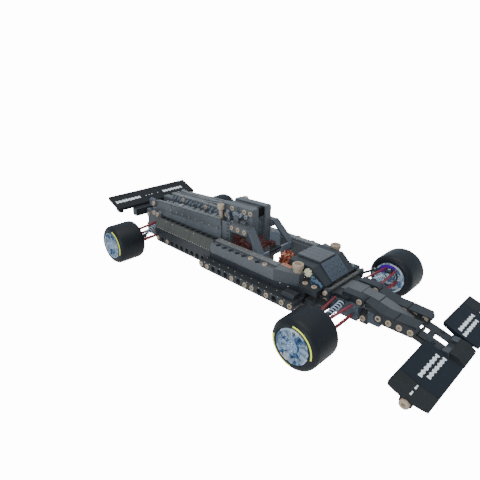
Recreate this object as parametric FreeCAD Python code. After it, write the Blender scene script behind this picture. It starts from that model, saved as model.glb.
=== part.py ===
import FreeCAD, Part
import math
import os
from FreeCAD import Vector

os.makedirs("parts", exist_ok=True)

# Open wheel racing car from a building set: pinned beams and panels.
# Millimetres. +X is forward, +Y is the driver's left, +Z is up.
# The origin is on the ground, at the middle of the overall length and width.

# Driving dimensions
pitch = 8.0                 # from one pin hole to the next
beamSize = 7.8              # width and height of a beam
pinBore = 4.8               # pin hole in a beam
pinFit = 0.05               # radial play of a pin in its hole
wheelbase = 232.0
frontOverhang = 86.0        # front axle to the front wing's leading edge
rearOverhang = 51.5         # rear axle to the rear wing's trailing edge
track = 134.4               # between the middles of the two tyres of an axle
tyreDiameter = 39.0
tyreWidth = 29.0
tyreShoulder = 4.9          # rounding between tread and sidewall
rimDiameter = 26.8
rimWall = 1.3
spokeCount = 10
axleDiameter = 4.7          # stub axle that the rim turns on
axlePlay = 0.06             # radial play of rim on stub axle
pivotPlay = 0.06            # radial play at the steering pivots
sidePlay = 0.35             # axial gap between turning and fixed faces
panelWall = 2.0             # thickness of body panels
sillSpacing = 80.0          # between the middles of the two side sills
podSpacing = 64.0           # between the middles of the lower beams of the pods
railSpacing = 24.0          # between the middles of the two floor rails
podHeight = 21.0            # pod top above the axles
deckHeight = 36.0           # deck panel top above the axles
airboxHeight = 52.5         # airbox top above the axles
cowlHeight = 28.0           # cowl top above the axles
rodDiameter = 2.2           # suspension rods
pinionTeeth = 9
toothModule = 0.8           # pitch diameter of the pinion over its teeth
steerArm = 12.0             # from the steering pivot to the tie rod's eye
frontWingSpan = 136.0
rearWingSpan = 104.0

# Places that follow from them
axleZ = tyreDiameter / 2
frontX = (frontOverhang + wheelbase + rearOverhang) / 2 - frontOverhang
rearX = frontX - wheelbase
sillY = sillSpacing / 2
podY = podSpacing / 2
railY = railSpacing / 2
half = beamSize / 2
podOuter = podY + half
podTop = axleZ + podHeight
deckTop = axleZ + deckHeight
airboxTop = axleZ + airboxHeight
cowlTop = axleZ + cowlHeight
podSplit = frontX - 132.0       # where the rear pod meets the front pod
podRear = rearX + 12.0
podFront = frontX - 35.0
bulkheadRear = frontX - 16.0
bulkheadFront = frontX + 12.0
bulkheadY = 19.9
pivotY = track / 2 - tyreWidth / 2 - 1.7    # steering pivot, just inside the rim's inner face
rackX = bulkheadRear - 7.0
pinionRadius = pinionTeeth * toothModule / 2
rackPitchZ = axleZ + 6.5                # pitch line of the rack, just above the floor rails
columnZ = rackPitchZ + pinionRadius


def box(x0, x1, y0, y1, z0, z1):
    return Part.makeBox(x1 - x0, y1 - y0, z1 - z0, Vector(x0, y0, z0))


def prism(points, axis, start, end):
    """Closed outline pushed along an axis. Points are the two other coordinates in order."""
    place = {"x": lambda a, b: Vector(start, a, b),
             "y": lambda a, b: Vector(a, start, b),
             "z": lambda a, b: Vector(a, b, start)}[axis]
    push = {"x": Vector(end - start, 0, 0),
            "y": Vector(0, end - start, 0),
            "z": Vector(0, 0, end - start)}[axis]
    corners = [place(a, b) for a, b in points]
    return Part.Face(Part.makePolygon(corners + corners[:1])).extrude(push)


def rod(start, end, diameter):
    run = end - start
    return Part.makeCylinder(diameter / 2, run.Length, start, run)


def drum(centre, axis, radius, length):
    """Cylinder centred on a point."""
    way = {"x": Vector(1, 0, 0), "y": Vector(0, 1, 0), "z": Vector(0, 0, 1)}[axis]
    return Part.makeCylinder(radius, length, centre - way * (length / 2), way)


def fuse(pieces):
    whole = pieces[0].fuse(pieces[1:]) if len(pieces) > 1 else pieces[0]
    return whole.removeSplitter()


def cut(shape, tools):
    return shape.cut(Part.makeCompound(tools)) if tools else shape


def otherSide(shape):
    return shape.mirror(Vector(0, 0, 0), Vector(0, 1, 0))


def bothSides(pieces):
    return list(pieces) + [otherSide(p) for p in pieces]


def save(node, pieces):
    solids = [s for p in pieces for s in p.Solids]
    for solid in solids:
        if not solid.isValid():
            print("invalid solid in", node)
    Part.makeCompound(solids).exportStep("parts/%s.step" % node) if len(solids) > 1 \
        else solids[0].exportStep("parts/%s.step" % node)
    print(node, len(solids))


def beam(firstX, holes, y, z, bore="y"):
    """Round-ended beam along X, its holes a pitch apart along Y or Z."""
    length = (holes - 1) * pitch
    bar = box(firstX, firstX + length, y - half, y + half, z - half, z + half)
    ends = [drum(Vector(x, y, z), bore, half, beamSize) for x in (firstX, firstX + length)]
    bores = [drum(Vector(firstX + i * pitch, y, z), bore, pinBore / 2, beamSize + 1) for i in range(holes)]
    return cut(fuse([bar] + ends), bores)


def pin(x, outerY, z, depth=beamSize, head=0.5):
    """Friction pin in a beam's hole, its end just proud of the outer face."""
    return Part.makeCylinder(pinBore / 2 - pinFit, depth + head, Vector(x, outerY - depth, z), Vector(0, 1, 0))


# ---------------------------------------------------------------- wheels

def tyre(x):
    """Slick tyre with rounded shoulders, seated on the whole width of the rim."""
    r, w, s = tyreDiameter / 2, tyreWidth / 2, tyreShoulder
    seat = rimDiameter / 2
    lift = s * (1 - math.sqrt(0.5))
    mid = track / 2

    def at(radius, across):
        return Vector(x, mid + across, axleZ + radius)
    edges = [Part.LineSegment(at(seat, -w), at(r - s, -w)),
             Part.Arc(at(r - s, -w), at(r - lift, -w + lift), at(r, -w + s)),
             Part.LineSegment(at(r, -w + s), at(r, w - s)),
             Part.Arc(at(r, w - s), at(r - lift, w - lift), at(r - s, w)),
             Part.LineSegment(at(r - s, w), at(seat, w)),
             Part.LineSegment(at(seat, w), at(seat, -w))]
    outline = Part.Wire([e.toShape() for e in edges])
    return Part.Face(outline).revolve(Vector(x, 0, axleZ), Vector(0, 1, 0), 360)


rimInner = rimDiameter / 2 - rimWall
hubRadius = axleDiameter / 2 + 2.2
recess = 2.6                # depth of the spoke recesses in the rim's outer face
webInset = 1.6              # outer face behind the rim's outer edge
knuckleOuter = pivotY + 5.0
dishY = pivotY + 6.5        # closed inner face of the rim
capHeight = 1.1


def rim(x):
    """Closed disc wheel with spokes in relief and a hub that reaches in to the knuckle."""
    w = tyreWidth / 2
    mid = track / 2
    webOuter = mid + w - webInset
    centre = Vector(x, 0, axleZ)

    def ring(outer, inner, y0, y1):
        body = Part.makeCylinder(outer, y1 - y0, centre + Vector(0, y0, 0), Vector(0, 1, 0))
        hole = Part.makeCylinder(inner, y1 - y0 + 2, centre + Vector(0, y0 - 1, 0), Vector(0, 1, 0))
        return body.cut(hole)
    bore = axleDiameter / 2 + axlePlay
    barrel = ring(rimDiameter / 2, rimInner, mid - w, mid + w)
    hub = ring(hubRadius, bore, knuckleOuter + sidePlay, dishY + 0.5)
    disc = ring(rimInner + 0.4, bore, dishY, webOuter)
    cap = Part.makeCylinder(hubRadius, capHeight, centre + Vector(0, webOuter, 0), Vector(0, 1, 0))
    slotIn, slotOut = hubRadius + 1.2, rimInner - 1.0
    slots = []
    for i in range(spokeCount):
        turn = 360.0 * i / spokeCount
        wide = math.pi * slotOut / spokeCount * 0.62
        narrow = math.pi * slotIn / spokeCount * 0.62
        slot = prism([(x - narrow, axleZ + slotIn), (x + narrow, axleZ + slotIn),
                      (x + wide, axleZ + slotOut), (x - wide, axleZ + slotOut)],
                     "y", webOuter - recess, webOuter + 1)
        slots.append(slot.rotate(centre, Vector(0, 1, 0), turn))
    return fuse([barrel, hub, cut(disc, slots), cap])


for name, x in (("front", frontX), ("rear", rearX)):
    leftTyre, leftRim = tyre(x), rim(x)
    save(name + "_left_tyre", [leftTyre])
    save(name + "_right_tyre", [otherSide(leftTyre)])
    save(name + "_left_rim", [leftRim])
    save(name + "_right_rim", [otherSide(leftRim)])

# ---------------------------------------------------------------- knuckles and uprights
knuckleTop, knuckleFoot = axleZ + 6.25, axleZ - 3.35
eyeThick = 2.2
eyeRadius = 3.0
pivotPin = 2.6
webOuterY = track / 2 + tyreWidth / 2 - webInset
axleEnd = webOuterY - 0.4
armRise = 3.6               # top of the steering arm above the axle
armThick = 2.4
leverWide = 3.6
studX, studY = frontX - steerArm, pivotY - 1.6      # stud that the tie rod pulls
studRadius = 1.0


def stubAxle(x):
    return Part.makeCylinder(axleDiameter / 2, axleEnd - pivotY, Vector(x, pivotY, axleZ), Vector(0, 1, 0))


def pivotPins(x):
    return [Part.makeCylinder(pivotPin / 2, eyeThick + 0.5, Vector(x, pivotY, knuckleTop)),
            Part.makeCylinder(pivotPin / 2, eyeThick + 0.5, Vector(x, pivotY, knuckleFoot), Vector(0, 0, -1))]


def knuckle():
    """Block on the steering pivot, with its stub axle, pivot pins and rearward steering arm."""
    block = box(frontX - 4, frontX + 4, pivotY - 2.8, knuckleOuter, knuckleFoot, knuckleTop)
    block = block.makeFillet(1.2, [e for e in block.Edges if abs(e.tangentAt(e.FirstParameter).y) > 0.9])
    armTop = axleZ + armRise
    arm = fuse([box(studX, frontX - 3, studY - leverWide / 2, studY + leverWide / 2, armTop - armThick, armTop),
                Part.makeCylinder(leverWide / 2, armThick, Vector(studX, studY, armTop - armThick))])
    stud = Part.makeCylinder(studRadius, eyeThick + 0.6, Vector(studX, studY, armTop))
    return fuse([block, stubAxle(frontX), arm, stud] + pivotPins(frontX))


leftKnuckle = knuckle()
save("left_knuckle", [leftKnuckle])
save("right_knuckle", [otherSide(leftKnuckle)])

upright = fuse([box(rearX - 4, rearX + 4, pivotY - 2.8, knuckleOuter, knuckleFoot, knuckleTop),
                stubAxle(rearX)] + pivotPins(rearX))
save("rear_uprights", bothSides([upright]))

# ---------------------------------------------------------------- floor
sillFirst = frontX - 17 * pitch
sill = beam(sillFirst, 14, sillY, axleZ)
save("side_sills", bothSides([sill]))

rearBeamHoles = int((podSplit - pitch - podRear) / pitch)
rearBeamFirst = podSplit - 4 - rearBeamHoles * pitch
rearBeam = beam(rearBeamFirst, rearBeamHoles, podY, axleZ)
save("rear_floor_beams", bothSides([rearBeam]))

railRear, railFront = rearX - 14.0, bulkheadRear
wellRear, wellFront = frontX - 99.0, frontX - 80.0      # open floor in front of the seat
rails = [box(start, end, railY - half, railY + half, axleZ - half, axleZ + half)
         for start, end in ((railRear, wellRear), (wellFront, railFront))]
save("floor_rails", bothSides(rails))

# Cross members: station of the middle behind the front axle, width along X
crossTable = [(132.0, 2 * beamSize), (110.0, beamSize), (76.0, 2 * beamSize), (36.0, 2 * beamSize)]
crossMembers = []       # between each rail and its sill
for back, wide in crossTable:
    x = frontX - back
    outer = sillY - half
    crossMembers.append(box(x - wide / 2, x + wide / 2, railY + half, outer, axleZ - half, axleZ + half))

rearCross = []
for x in (rearBeamFirst + pitch, (rearBeamFirst + podSplit) / 2):
    rearCross.append(box(x - half, x + half, railY + half, podY - half, axleZ - half, axleZ + half))
middleCross = []
for back, wide in ((132.0, 2 * beamSize), (104.0, beamSize), (44.0, beamSize)):
    x = frontX - back
    middleCross.append(box(x - wide / 2, x + wide / 2, half - railY, railY - half, axleZ - half, axleZ + half))
save("floor_cross_members", bothSides(crossMembers + rearCross) + middleCross)

# ---------------------------------------------------------------- side pods
sillTop = axleZ + half
podShoulder = axleZ + 12.0      # where a rear pod's side turns in towards its top
topBeamY = podY - 6.0
topBeamTop = podTop - 1.1
topBeamZ = topBeamTop - half
bandZ = axleZ + 10.5            # joint between a front pod's lower and upper panel
podInner = podOuter - 12.0
seam = 0.3                      # gap between neighbouring panels

rearLength = podSplit - podRear
rearSections = [(0.0, 0.25), (0.25, 0.62), (0.62, 1.0)]     # shares of the rear pod's length
lowerRear = box(podRear, podSplit - seam, podOuter - panelWall, podOuter, sillTop, podShoulder - seam)

slopes = []
for start, end in rearSections:
    x0 = podRear + rearLength * start
    x1 = podRear + rearLength * end - seam
    topOuter = topBeamY + half + 1.9
    slopes.append(prism([(podOuter, podShoulder), (topOuter, podTop - 0.4), (topBeamY + half + 0.1, podTop - 0.4),
                         (topBeamY + half + 0.1, podTop - 2.0), (podOuter - panelWall, podShoulder)],
                        "x", x0, x1))
save("rear_pod_tops", bothSides(slopes))

topBeamHoles = int((podSplit - podRear - pitch) / pitch) + 1
topBeamFirst = podSplit - 4.5 - (topBeamHoles - 1) * pitch
save("rear_pod_beams", bothSides([beam(topBeamFirst, topBeamHoles, topBeamY, topBeamZ, bore="z")]))

# Uprights carry the top beams and pods on the floor beams
supports = []
for x in (topBeamFirst + pitch / 2, (topBeamFirst + podSplit) / 2, podSplit - 4.5):
    supports.append(box(x - half, x + half, podY - half + 0.1, topBeamY + half - 0.1, sillTop, topBeamZ - half))
save("rear_pod_uprights", bothSides(supports))

# Front pods: a black lower side under grey panels, whose top has a lower strip with a row of holes.
# Both turn in towards the cockpit over their front length.
taperStart = podFront - 21.0
taperY = podOuter - 6.1         # outer face of the pod at its front end


def taperWall(outer, z0, z1):
    """Side wall of the front length, its outer face starting this far out."""
    inward = podOuter - outer
    return prism([(taperStart, outer), (podFront, taperY - inward), (podFront, taperY - inward - panelWall),
                  (taperStart, outer - panelWall)], "z", z0, z1)


lowerOuter = podOuter - 0.4
lowerFront = fuse([box(podSplit, taperStart, lowerOuter - panelWall, lowerOuter, sillTop, bandZ),
                   taperWall(lowerOuter, sillTop, bandZ)])
save("pod_sides", bothSides([lowerRear, lowerFront]))

stripTop = podTop - 1.9
stripInner = podOuter - 5.6
upper = fuse([box(podSplit, taperStart, podInner, podOuter, bandZ, stripTop),
              box(podSplit, taperStart, podInner, stripInner, stripTop, podTop)])
upper = upper.cut(box(podSplit - 1, taperStart + 1, podInner - 1, podOuter - panelWall,
                      bandZ - 1, stripTop - panelWall))
upper = upper.makeFillet(1.8, [e for e in upper.Edges if e.BoundBox.YMin > podOuter - 0.01
                               and e.BoundBox.ZMin > stripTop - 0.01 and e.BoundBox.XLength > 10])
rowHoles = int((taperStart - podSplit - pitch) / pitch)
rowFirst = podSplit + pitch
rowY, rowDepth = podOuter - 3.1, 2 * panelWall + 0.2
upper = cut(upper, [drum(Vector(rowFirst + i * pitch, rowY, stripTop - 2), "z", pinBore / 2, rowDepth)
                    for i in range(rowHoles)])
frontTop = prism([(taperStart, podInner), (taperStart, podOuter), (podFront, taperY), (podFront, podInner)],
                 "z", podTop - panelWall, podTop)
save("front_pod_panels", bothSides([fuse([upper, frontTop, taperWall(podOuter, bandZ, podTop - 1)])]))

# Black blocks at the front corners of the floor, beside the driver's feet
footX0, footX1 = podFront + 0.6, bulkheadRear - 1.0
footY0, footY1 = bulkheadY + 0.1, podY - 0.8
footTop = axleZ + 13.5
footBlock = box(footX0, footX1, footY0, footY1, sillTop, footTop)
rodSpace = axleZ + 8.6          # the tie rods pass under the front half of each block
footBlock = footBlock.cut(box(rackX - 5, footX1 + 1, footY0 - 1, footY1 + 1, sillTop - 1, rodSpace))
sillBlock = box(frontX - 43.0, frontX - 31.0, taperY + 3.4, sillY + 1.5, sillTop + 0.05, sillTop + 4.0)
sillBlock = sillBlock.makeFillet(2.4, [e for e in sillBlock.Edges if e.BoundBox.ZMin > sillTop + 3.9
                                       and e.BoundBox.YMin > sillY + 1.4])
save("foot_blocks", bothSides([footBlock, sillBlock]))

# ---------------------------------------------------------------- engine cover
deckRear, deckFront = rearX - 4.0, podSplit - seam
deckY = topBeamY - half + 0.9       # outer foot of a deck panel, on the top beam
deckFall = 5.3                      # how much lower the deck is at its rear end


def deckOutline(x, drop):
    top = deckTop + 3.2 - drop
    crease = topBeamTop + 8.6 - drop * 0.9
    foot = deckY
    points = [(foot, topBeamTop), (foot - 1.4, crease), (foot - 0.4, top - 1.0), (foot - 1.4, top),
              (foot - 3.2, top), (foot - 3.6, crease), (foot - 2.6, topBeamTop)]
    corners = [Vector(x, y, z) for y, z in points]
    return Part.makePolygon(corners + corners[:1])


deckPanel = Part.makeLoft([deckOutline(deckRear, deckFall), deckOutline(deckFront, 0.0)], True, True)
save("deck_side_panels", bothSides([deckPanel]))

engineY = deckY - 4.6
engineTop = axleZ + 24.0
engine = box(rearX + 4, podSplit - 4, -engineY, engineY, sillTop + 0.0, engineTop)
engine = engine.makeFillet(3.0, [e for e in engine.Edges if e.BoundBox.XLength > 10
                                 and e.BoundBox.ZMin > engineTop - 1])
save("engine_block", [engine])

# Cylinder heads: a rail on each bank with a row of round caps
headRear, headFront = rearX + 6, podSplit - 10
headY = 11.5
headTop = axleZ + 31.0
caps = int((headFront - headRear) / pitch)
heads = [box(headRear, headFront, headY - 3.4, headY + 3.4, engineTop, headTop)]
for i in range(caps):
    heads.append(Part.makeCylinder(2.4, 1.8, Vector(headRear + (i + 0.5) * pitch, headY, headTop)))
save("cylinder_heads", bothSides([fuse(heads)]))

# Upright pin ahead of each head
postX, postY, postTop = podSplit - 6.3, 16.1, axleZ + 50.9
post = fuse([Part.makeCylinder(1.7, postTop - engineTop - 0.1, Vector(postX, postY, engineTop + 0.1)),
             Part.makeCylinder(3.4, 5.6, Vector(postX, postY, postTop - 5.6))])
save("head_posts", bothSides([post]))

# Spine down the middle of the cover, from the airbox to the tail
spineY = 3.9
spineFront = frontX - 141.0
spineTop = axleZ + 42.0
spineOutline = [(rearX + 2, engineTop), (spineFront, engineTop), (spineFront, spineTop + 5.0),
                (spineFront - 26, spineTop), (rearX + 2, spineTop - 3.0)]
spine = prism(spineOutline, "y", -spineY, spineY)
save("engine_spine", [spine])

# ---------------------------------------------------------------- airbox
airFront, airRear = frontX - 101.6, frontX - 141.0
airInner, airOuter = 4.6, 4.6 + beamSize
airFoot = sillTop
airOutline = [(airFront, airFoot), (airFront, airboxTop), (airRear, airboxTop - 1.2), (airRear, airboxTop - 6.5),
              (airFront - beamSize - 3, airboxTop - 8.5), (airFront - beamSize, airboxTop - 12),
              (airFront - beamSize, airFoot)]
pillar = prism(airOutline, "y", airInner, airOuter)
save("airbox_pillars", bothSides([pillar]))

airCore = prism([(airFront - 3, airboxTop - 14), (airFront - 3, airboxTop - 1.8), (airRear + 0.2, airboxTop - 3),
                 (airRear + 0.2, axleZ + 34), (airFront - beamSize, axleZ + 34)], "y", -airInner, airInner)
save("airbox_core", [airCore])

sideBeamFirst = frontX - 120.0
sideBeamY = airOuter + half
sideBeamZ = axleZ + 33.5
sideBeam = [beam(sideBeamFirst, 3, sideBeamY, sideBeamZ)]
for x, high in ((sideBeamFirst + 1, airboxTop - 9), (sideBeamFirst + 9.5, airboxTop - 12)):
    sideBeam.append(box(x - 3, x + 3, airOuter, airOuter + 3.4, sideBeamZ + half - 0.5, high))
save("airbox_side_beams", bothSides([fuse(sideBeam)]))

# Slanted struts from the side beams down to the cockpit's sides
wallTop = podTop - 2.0
wallY = podInner - 0.1
strutThick = 3.0


def strutOutline(x, inner, outer, z):
    corners = [Vector(x, inner, z), Vector(x + strutThick, inner, z),
               Vector(x + strutThick, outer, z), Vector(x, outer, z)]
    return Part.makePolygon(corners + corners[:1])


strut = Part.makeLoft([strutOutline(airFront - 0.4, airOuter + 0.2, sideBeamY + half, sideBeamZ + half + 0.3),
                       strutOutline(airFront + 15.6, wallY - 7.4, wallY, wallTop + 0.2)], True, True)
save("shoulder_struts", bothSides([strut]))

# ---------------------------------------------------------------- cockpit
cabinRear, cabinFront = airFront, frontX - 52.0
wallFront = podFront - 0.5
sideWall = box(cabinRear, wallFront, wallY - panelWall, wallY, sillTop, wallTop)

seatY = 16.2
seatBase = axleZ + half
seatFront = cabinRear + 24.0
seatWing = [(cabinRear - 21.0, seatBase), (cabinRear - 21.0, podTop + 1), (cabinRear - 13.0, podTop + 4),
            (cabinRear - 1.0, podTop + 4), (cabinRear + 3.0, podTop - 4), (seatFront, podTop - 7), (seatFront, seatBase),
            (seatFront - 4.0, seatBase), (seatFront - 4.0, seatBase + 5), (wellRear - 0.5, seatBase + 5),
            (wellRear - 0.5, seatBase)]
seatSide = prism(seatWing, "y", airOuter + 0.3, seatY)
seatBack = prism([(cabinRear + 0.6, seatBase), (cabinRear + 5.2, seatBase), (cabinRear + 4.2, podTop + 4),
                  (cabinRear + 0.6, podTop + 4)], "y", -airOuter - 0.5, airOuter + 0.5)
seat = fuse([seatBack] + bothSides([seatSide]))
save("seat", [seat])

dashX = cabinFront
dashBore = axleDiameter / 2 + pivotPlay
dash = box(dashX, dashX + panelWall, 0.2 - wallY + panelWall, wallY - panelWall - 0.2, sillTop, cowlTop - 10)
dash = dash.cut(drum(Vector(dashX, 0, columnZ), "x", dashBore, 20))
save("cockpit_walls", bothSides([sideWall]) + [dash])

# ---------------------------------------------------------------- cowl and windscreen
cowlY = 21.0
cowlFront = frontX - 28.7
screenFoot = frontX - 16.2
screenFootZ = columnZ + 4.0
cowlBase = cowlTop - 10
skin = 1.6
shell = prism([(dashX, cowlBase), (dashX, cowlTop - 2), (cowlFront, cowlTop - 2), (screenFoot, screenFootZ),
               (screenFoot - 3.0, screenFootZ), (cowlFront - 1.0, cowlBase)], "y", -cowlY, cowlY)
hollow = prism([(dashX - 1, cowlBase - 1), (dashX - 1, cowlTop - 2 - skin), (cowlFront - 1, cowlTop - 2 - skin),
                (screenFoot - 2.2, screenFootZ - 1), (screenFoot - 4, screenFootZ - 3), (cowlFront, cowlBase - 1)],
               "y", skin - cowlY, cowlY - skin)
save("cowl_shell", [shell.cut(hollow)])

# Sloped cover over each foot block, and a small cog on each side of the cowl
coverInner, coverOuter = cowlY + 0.3, cowlY + 3.0
coverRear, coverFront = frontX - 28.6, frontX - 17.6
cover = prism([(coverRear, footTop + 6.6), (coverFront, footTop + 1.4), (coverFront, footTop + 0.2),
               (coverRear, footTop + 0.2)], "y", coverInner, coverOuter)
save("foot_covers", bothSides([cover]))

cogAt = Vector(frontX - 32.2, cowlY + 0.3, axleZ + 21.0)
cogTeeth = 8
cogPieces = [Part.makeCylinder(2.5, 2.0, cogAt, Vector(0, 1, 0))]
for i in range(cogTeeth):
    blade = box(-0.65, 0.65, 0, 2.0, 2.0, 3.4)
    blade.rotate(Vector(0, 0, 0), Vector(0, 1, 0), 360.0 * i / cogTeeth)
    cogPieces.append(blade.translated(cogAt))
save("side_cogs", bothSides([fuse(cogPieces)]))

cowlPanelY = 11.0
save("cowl_panel", [box(dashX, cowlFront - 0.6, -cowlPanelY, cowlPanelY, cowlTop - 2, cowlTop)])

# Ridged panel of the windscreen, on the slope of the shell
screenRun = Vector(screenFoot - cowlFront, 0, screenFootZ - cowlTop + 2)
screenSlope = math.degrees(math.atan2(-screenRun.z, screenRun.x))
ridges = 8
screenLength = screenRun.Length - 1.0
ribbed = [box(0.4, screenLength, -12, 12, 0, 0.9)]
for i in range(ridges):
    across = -12 + 24 * (i + 0.5) / ridges
    ribbed.append(box(0.4, screenLength, across - 0.6, across + 0.6, 0.9, 1.3))
screen = fuse(ribbed)
screen.rotate(Vector(0, 0, 0), Vector(0, 1, 0), screenSlope)
screen.translate(Vector(cowlFront, 0, cowlTop - 2))
save("windscreen_panel", [screen])

# ---------------------------------------------------------------- front bulkhead and steering
bulkheadTop = columnZ - 2.6
bulkheadFoot = axleZ - 4.0
bulkhead = box(bulkheadRear, bulkheadFront, -bulkheadY, bulkheadY, bulkheadFoot, bulkheadTop)
save("front_bulkhead", [bulkhead])

crossBarY = 26.0
barRadius = 1.7
barX, barZ = bulkheadRear + 3.4, columnZ + 2.6
journal = 3.0               # front end of the steering column
crossBar = fuse([box(bulkheadRear, bulkheadRear + 5.0, -6, 6, bulkheadTop, barZ - 0.6),
                 drum(Vector(barX, 0, barZ), "y", barRadius, 2 * crossBarY)]
                + bothSides([drum(Vector(barX, crossBarY - 2.4, barZ - 0.6), "y", pinBore / 2 + 0.9, 4.8)]))
crossBar = crossBar.cut(drum(Vector(bulkheadRear, 0, columnZ), "x", journal / 2 + pivotPlay, 7))
save("cross_bar", [crossBar])

addendum, dedendum = 0.8 * toothModule, 1.2 * toothModule
toothPitch = math.pi * toothModule
toothThick = toothPitch / 2 - 0.26      # play between the flanks
flank = math.tan(math.radians(20))
rackFoot = sillTop + 0.1
rackY = 18.0
gearWidth = 4.0


def tooth(root, tip):
    """Half widths of a straight tooth at its root and tip, measured from the pitch line."""
    return toothThick / 2 + root * flank, toothThick / 2 - tip * flank


wideHalf, tipHalf = tooth(dedendum, addendum)
rackBody = box(rackX - gearWidth / 2, rackX + gearWidth / 2, -rackY, rackY, rackFoot, rackPitchZ - dedendum)
rackTeeth = []
for i in range(-3, 4):
    y = i * toothPitch
    rackTeeth.append(prism([(y - wideHalf, rackPitchZ - dedendum - 0.1), (y + wideHalf, rackPitchZ - dedendum - 0.1),
                            (y + tipHalf, rackPitchZ + addendum), (y - tipHalf, rackPitchZ + addendum)],
                           "x", rackX - gearWidth / 2, rackX + gearWidth / 2))

# Tie rods end in long eyes, in which the studs drift fore and aft as the knuckles turn
eyeFoot = axleZ + armRise + 0.3
eyeWall = 1.3
driftRear, driftFront = -0.3, 1.4
rodZ = eyeFoot + eyeThick / 2
tieStart = Vector(rackX, rackY - 1, rodZ)
tieEnd = Vector(studX, studY, rodZ)


def longHole(radius, foot, height):
    """Upright slot round the stud's path."""
    ends = [Part.makeCylinder(radius, height, Vector(studX + x, studY, foot)) for x in (driftRear, driftFront)]
    middle = box(studX + driftRear, studX + driftFront, studY - radius, studY + radius, foot, foot + height)
    return fuse(ends + [middle])


tie = fuse([rod(tieStart, tieEnd, rodDiameter), longHole(studRadius + 0.3 + eyeWall, eyeFoot, eyeThick)])
tie = tie.cut(longHole(studRadius + 0.3, eyeFoot - 1, eyeThick + 2))
save("steering_rack", [fuse([rackBody] + rackTeeth + bothSides([tie]))])

# Steering wheel, column and pinion
wheelX = frontX - 72.0
gripRadius = 8.4
gearTeeth = 12
forward = Vector(1, 0, 0)
wheelAt = Vector(wheelX, 0, columnZ)
pinionAt = Vector(rackX - gearWidth / 2, 0, columnZ)
column = [Part.makeCylinder(axleDiameter / 2, rackX - gearWidth / 2 - wheelX, wheelAt, forward),
          Part.makeCylinder(journal / 2, bulkheadRear + 3.2 - wheelX, wheelAt, forward),
          Part.makeCylinder(pinionRadius - dedendum, gearWidth, pinionAt, forward)]
for i in range(pinionTeeth):
    blade = prism([(-wideHalf, pinionRadius - dedendum - 0.3), (wideHalf, pinionRadius - dedendum - 0.3),
                   (tipHalf, pinionRadius + addendum), (-tipHalf, pinionRadius + addendum)],
                  "x", pinionAt.x, pinionAt.x + gearWidth)
    blade.rotate(Vector(0, 0, 0), forward, 360.0 * i / pinionTeeth)
    blade.translate(Vector(0, 0, columnZ))
    column.append(blade)
save("steering_column", [fuse(column)])

grip = Part.makeTorus(gripRadius, 1.5, wheelAt - forward * 2, forward)
spokes = [Part.makeCylinder(3.4, 3.6, wheelAt - forward * 3.6, forward)]
spokes.append(Part.makeCylinder(4.2, 8.0, wheelAt, forward))
spokes.append(Part.makeCylinder(6.2, 2.6, wheelAt + forward * 5.4, forward))
for i in range(gearTeeth):
    cog = box(wheelX + 5.4, wheelX + 8.0, -0.8, 0.8, 5.5, 7.4)
    spokes.append(cog.rotate(Vector(0, 0, 0), forward, 360.0 * i / gearTeeth).translate(Vector(0, 0, columnZ)))
for turn in (0, 90, 180, 270):
    spoke = box(wheelX - 3, wheelX - 1, -1.3, 1.3, 2.5, gripRadius)
    spokes.append(spoke.rotate(Vector(0, 0, 0), forward, turn).translate(Vector(0, 0, columnZ)))
shaftHole = Part.makeCylinder(axleDiameter / 2 + pinFit, 20, wheelAt, forward)
save("steering_wheel", [fuse([grip] + spokes).cut(shaftHole)])

# ---------------------------------------------------------------- suspension


def wishbone(axleX, outZ, inZ, inY, bridge=None):
    """Two thin legs from the chassis side to one eye round the pivot, and the bridge that a spring leg seats on."""
    eyeCentre = Vector(axleX, pivotY, outZ)
    legs = [rod(Vector(axleX + way * legOut, pivotY - 0.5, outZ),
                Vector(axleX + way * legIn, inY, inZ), rodDiameter)
            for way in (-1, 1)]
    if bridge:
        legs.append(drum(Vector(axleX, bridge[0], bridge[1]), "x", rodDiameter / 2, 2 * legOut + 2.6))
    ring = Part.makeCylinder(eyeRadius, eyeThick, eyeCentre - Vector(0, 0, eyeThick / 2))
    bore = Part.makeCylinder(pivotPin / 2 + pivotPlay, eyeThick + 6, eyeCentre - Vector(0, 0, eyeThick / 2 + 3))
    beyond = box(axleX - 20, axleX + 20, inY - 5, inY + 0.1, inZ - 9, inZ + 9)
    swing = box(axleX - knuckleSwing, axleX + knuckleSwing, pivotY - knuckleSwing, pivotY + knuckleSwing,
                knuckleFoot - eyeGap, knuckleTop + eyeGap)
    return cut(fuse(legs + [ring]), [bore, beyond, swing])


eyeGap = 0.15
knuckleSwing = 5.4          # the knuckle's corners stay inside this as it turns
upperOut = knuckleTop + eyeGap + eyeThick / 2
lowerOut = knuckleFoot - eyeGap - eyeThick / 2
legOut, legIn = 2.4, 7.4    # legs left and right of the axle's line, at the eye and at the chassis
bridgeY = pivotY - 7.2      # bridge between two legs
springY = pivotY - 6.6      # outer end of a spring leg
frontArms = [wishbone(frontX, upperOut, axleZ + 6.3, bulkheadY, (bridgeY, axleZ + 6.7)),
             wishbone(frontX, lowerOut, axleZ - 0.6, bulkheadY)]
save("front_wishbones", bothSides(frontArms))

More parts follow.
